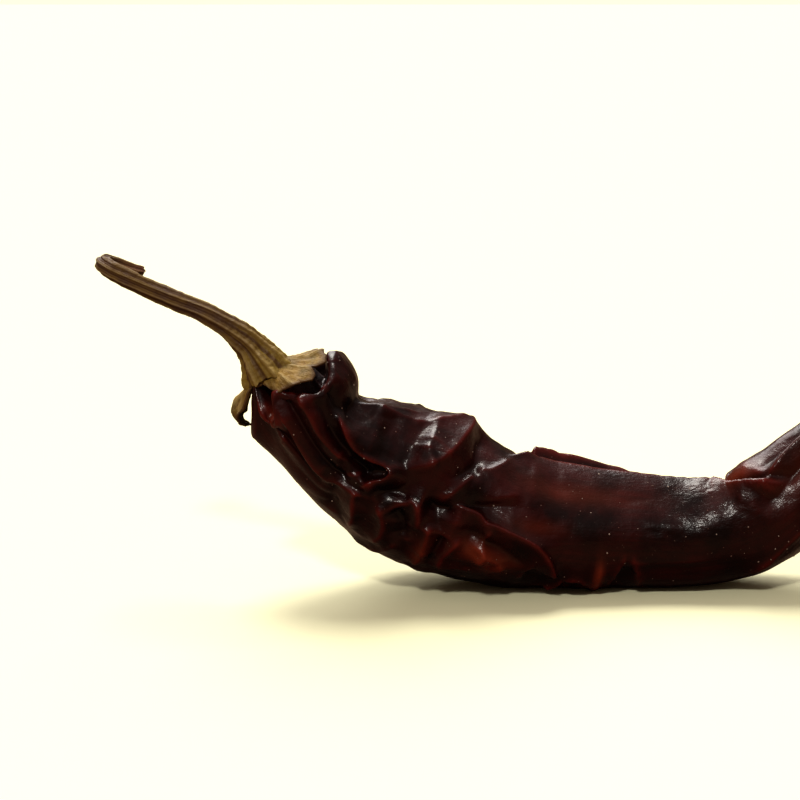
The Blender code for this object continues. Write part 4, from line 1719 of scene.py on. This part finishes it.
@dataclass
class Studio:
    """The pale table, the lights and the even backdrop.

    Attributes:
        reach: Half the table's width in metres.
        windows: The soft lights.
        backdrop: The colour behind the table.
        glow: How bright the room's own light is.
    """

    reach: float = 40.0
    windows: tuple = (
        Window("high window", (-0.16, 0.34, 0.92), 22.0, 1.8),
        Window("back window", (-0.16, 0.72, 0.66), 40.0, 1.5, (1.0, 0.97, 0.95)),
        Window("front window", (-0.16, -0.66, 0.72), 7.0, 1.0),
    )
    backdrop: tuple = (0.99, 1.0, 0.675)
    glow: float = 0.28

    def build(self, finish: FloorFinish) -> None:
        """Lay the table, hang the lights and light the room.

        Args:
            finish: The table's finish.
        """
        mesh = bpy.data.meshes.new("table")
        side = self.reach
        corners = [(-side, -side, 0), (side, -side, 0), (side, side, 0), (-side, side, 0)]
        mesh.from_pydata(corners, [], [(0, 1, 2, 3)])
        table = bpy.data.objects.new("table", mesh)
        bpy.context.collection.objects.link(table)
        dress(table, finish.material())
        for window in self.windows:
            window.build()
        self._world()
        view = bpy.context.scene.view_settings
        view.view_transform = "Standard"
        view.look = "Medium High Contrast"

    def _world(self) -> None:
        """Light the room softly from above, and show the backdrop's even colour behind the table."""
        world = bpy.data.worlds.new("room")
        bpy.context.scene.world = world
        world.use_nodes = True
        shades = Shades(world.node_tree)
        ground = world.node_tree.nodes["Background"]
        where = shades.node("ShaderNodeTexCoord").outputs["Generated"]
        height = shades.node("ShaderNodeSeparateXYZ", {0: where}).outputs["Z"]
        tone = shades.blend(shades.ramp(height, 0.0, 0.85), colour(0.34, 0.20, 0.11), colour(1.0, 0.84, 0.79))
        world.node_tree.links.new(tone, ground.inputs["Color"])
        ground.inputs["Strength"].default_value = self.glow
        shown = shades.node("ShaderNodeBackground", {"Color": (*self.backdrop, 1.0), "Strength": 1.0})
        seen = shades.node("ShaderNodeLightPath").outputs["Is Camera Ray"]
        mixed = shades.node("ShaderNodeMixShader", {0: seen, 1: ground.outputs[0], 2: shown.outputs[0]})
        out = next(node for node in world.node_tree.nodes if node.type == "OUTPUT_WORLD")
        world.node_tree.links.new(mixed.outputs[0], out.inputs["Surface"])


@dataclass(frozen=True)
class Viewpoint:
    """The camera.

    Attributes:
        aim: The point that it looks at, in the pepper's millimetres.
        elevation: How far it looks down, in degrees.
        distance: How far away it is, in millimetres.
        lens: Its focal length in millimetres.
    """

    aim: tuple[float, float, float] = (-31.5, 0.0, 40.0)
    elevation: float = 12.0
    distance: float = 396.7
    lens: float = 85.0

    def build(self, bench: Bench) -> bpy.types.Object:
        """Set the camera up and make it the scene's."""
        camera = bpy.data.cameras.new("camera")
        camera.lens = self.lens
        camera.sensor_width = 36.0
        camera.clip_start = 0.01
        made = bpy.data.objects.new("camera", camera)
        bpy.context.collection.objects.link(made)
        slope = math.radians(self.elevation)
        looking = Vector((0.0, math.cos(slope), -math.sin(slope)))
        made.location = Vector(bench.metres(np.array(self.aim))) - looking * self.distance * MM
        made.rotation_euler = looking.to_track_quat("-Z", "Y").to_euler()
        bpy.context.scene.camera = made
        return made


# ---------------------------------------------------------------------------------------------------------
# The order of work
# ---------------------------------------------------------------------------------------------------------


def main() -> None:
    """Build the pepper, then the studio and the camera."""
    logging.basicConfig(level=logging.INFO, format="%(name)s: %(message)s")
    bench = Bench(ORIGIN)
    effects = SharedEffects()
    pod = Pod(folds=POD_FOLDS, glows=POD_GLOWS)
    skin = pod.build(bench, PodSkinFinish(), effects)
    Pimples().build(skin, SpeckFinish())
    Calyx().build(bench, CalyxFinish(), effects)
    Stem().build(bench, StemFinish(), effects)
    Studio().build(FloorFinish())
    Viewpoint().build(bench)


if __name__ == "__main__":
    main()
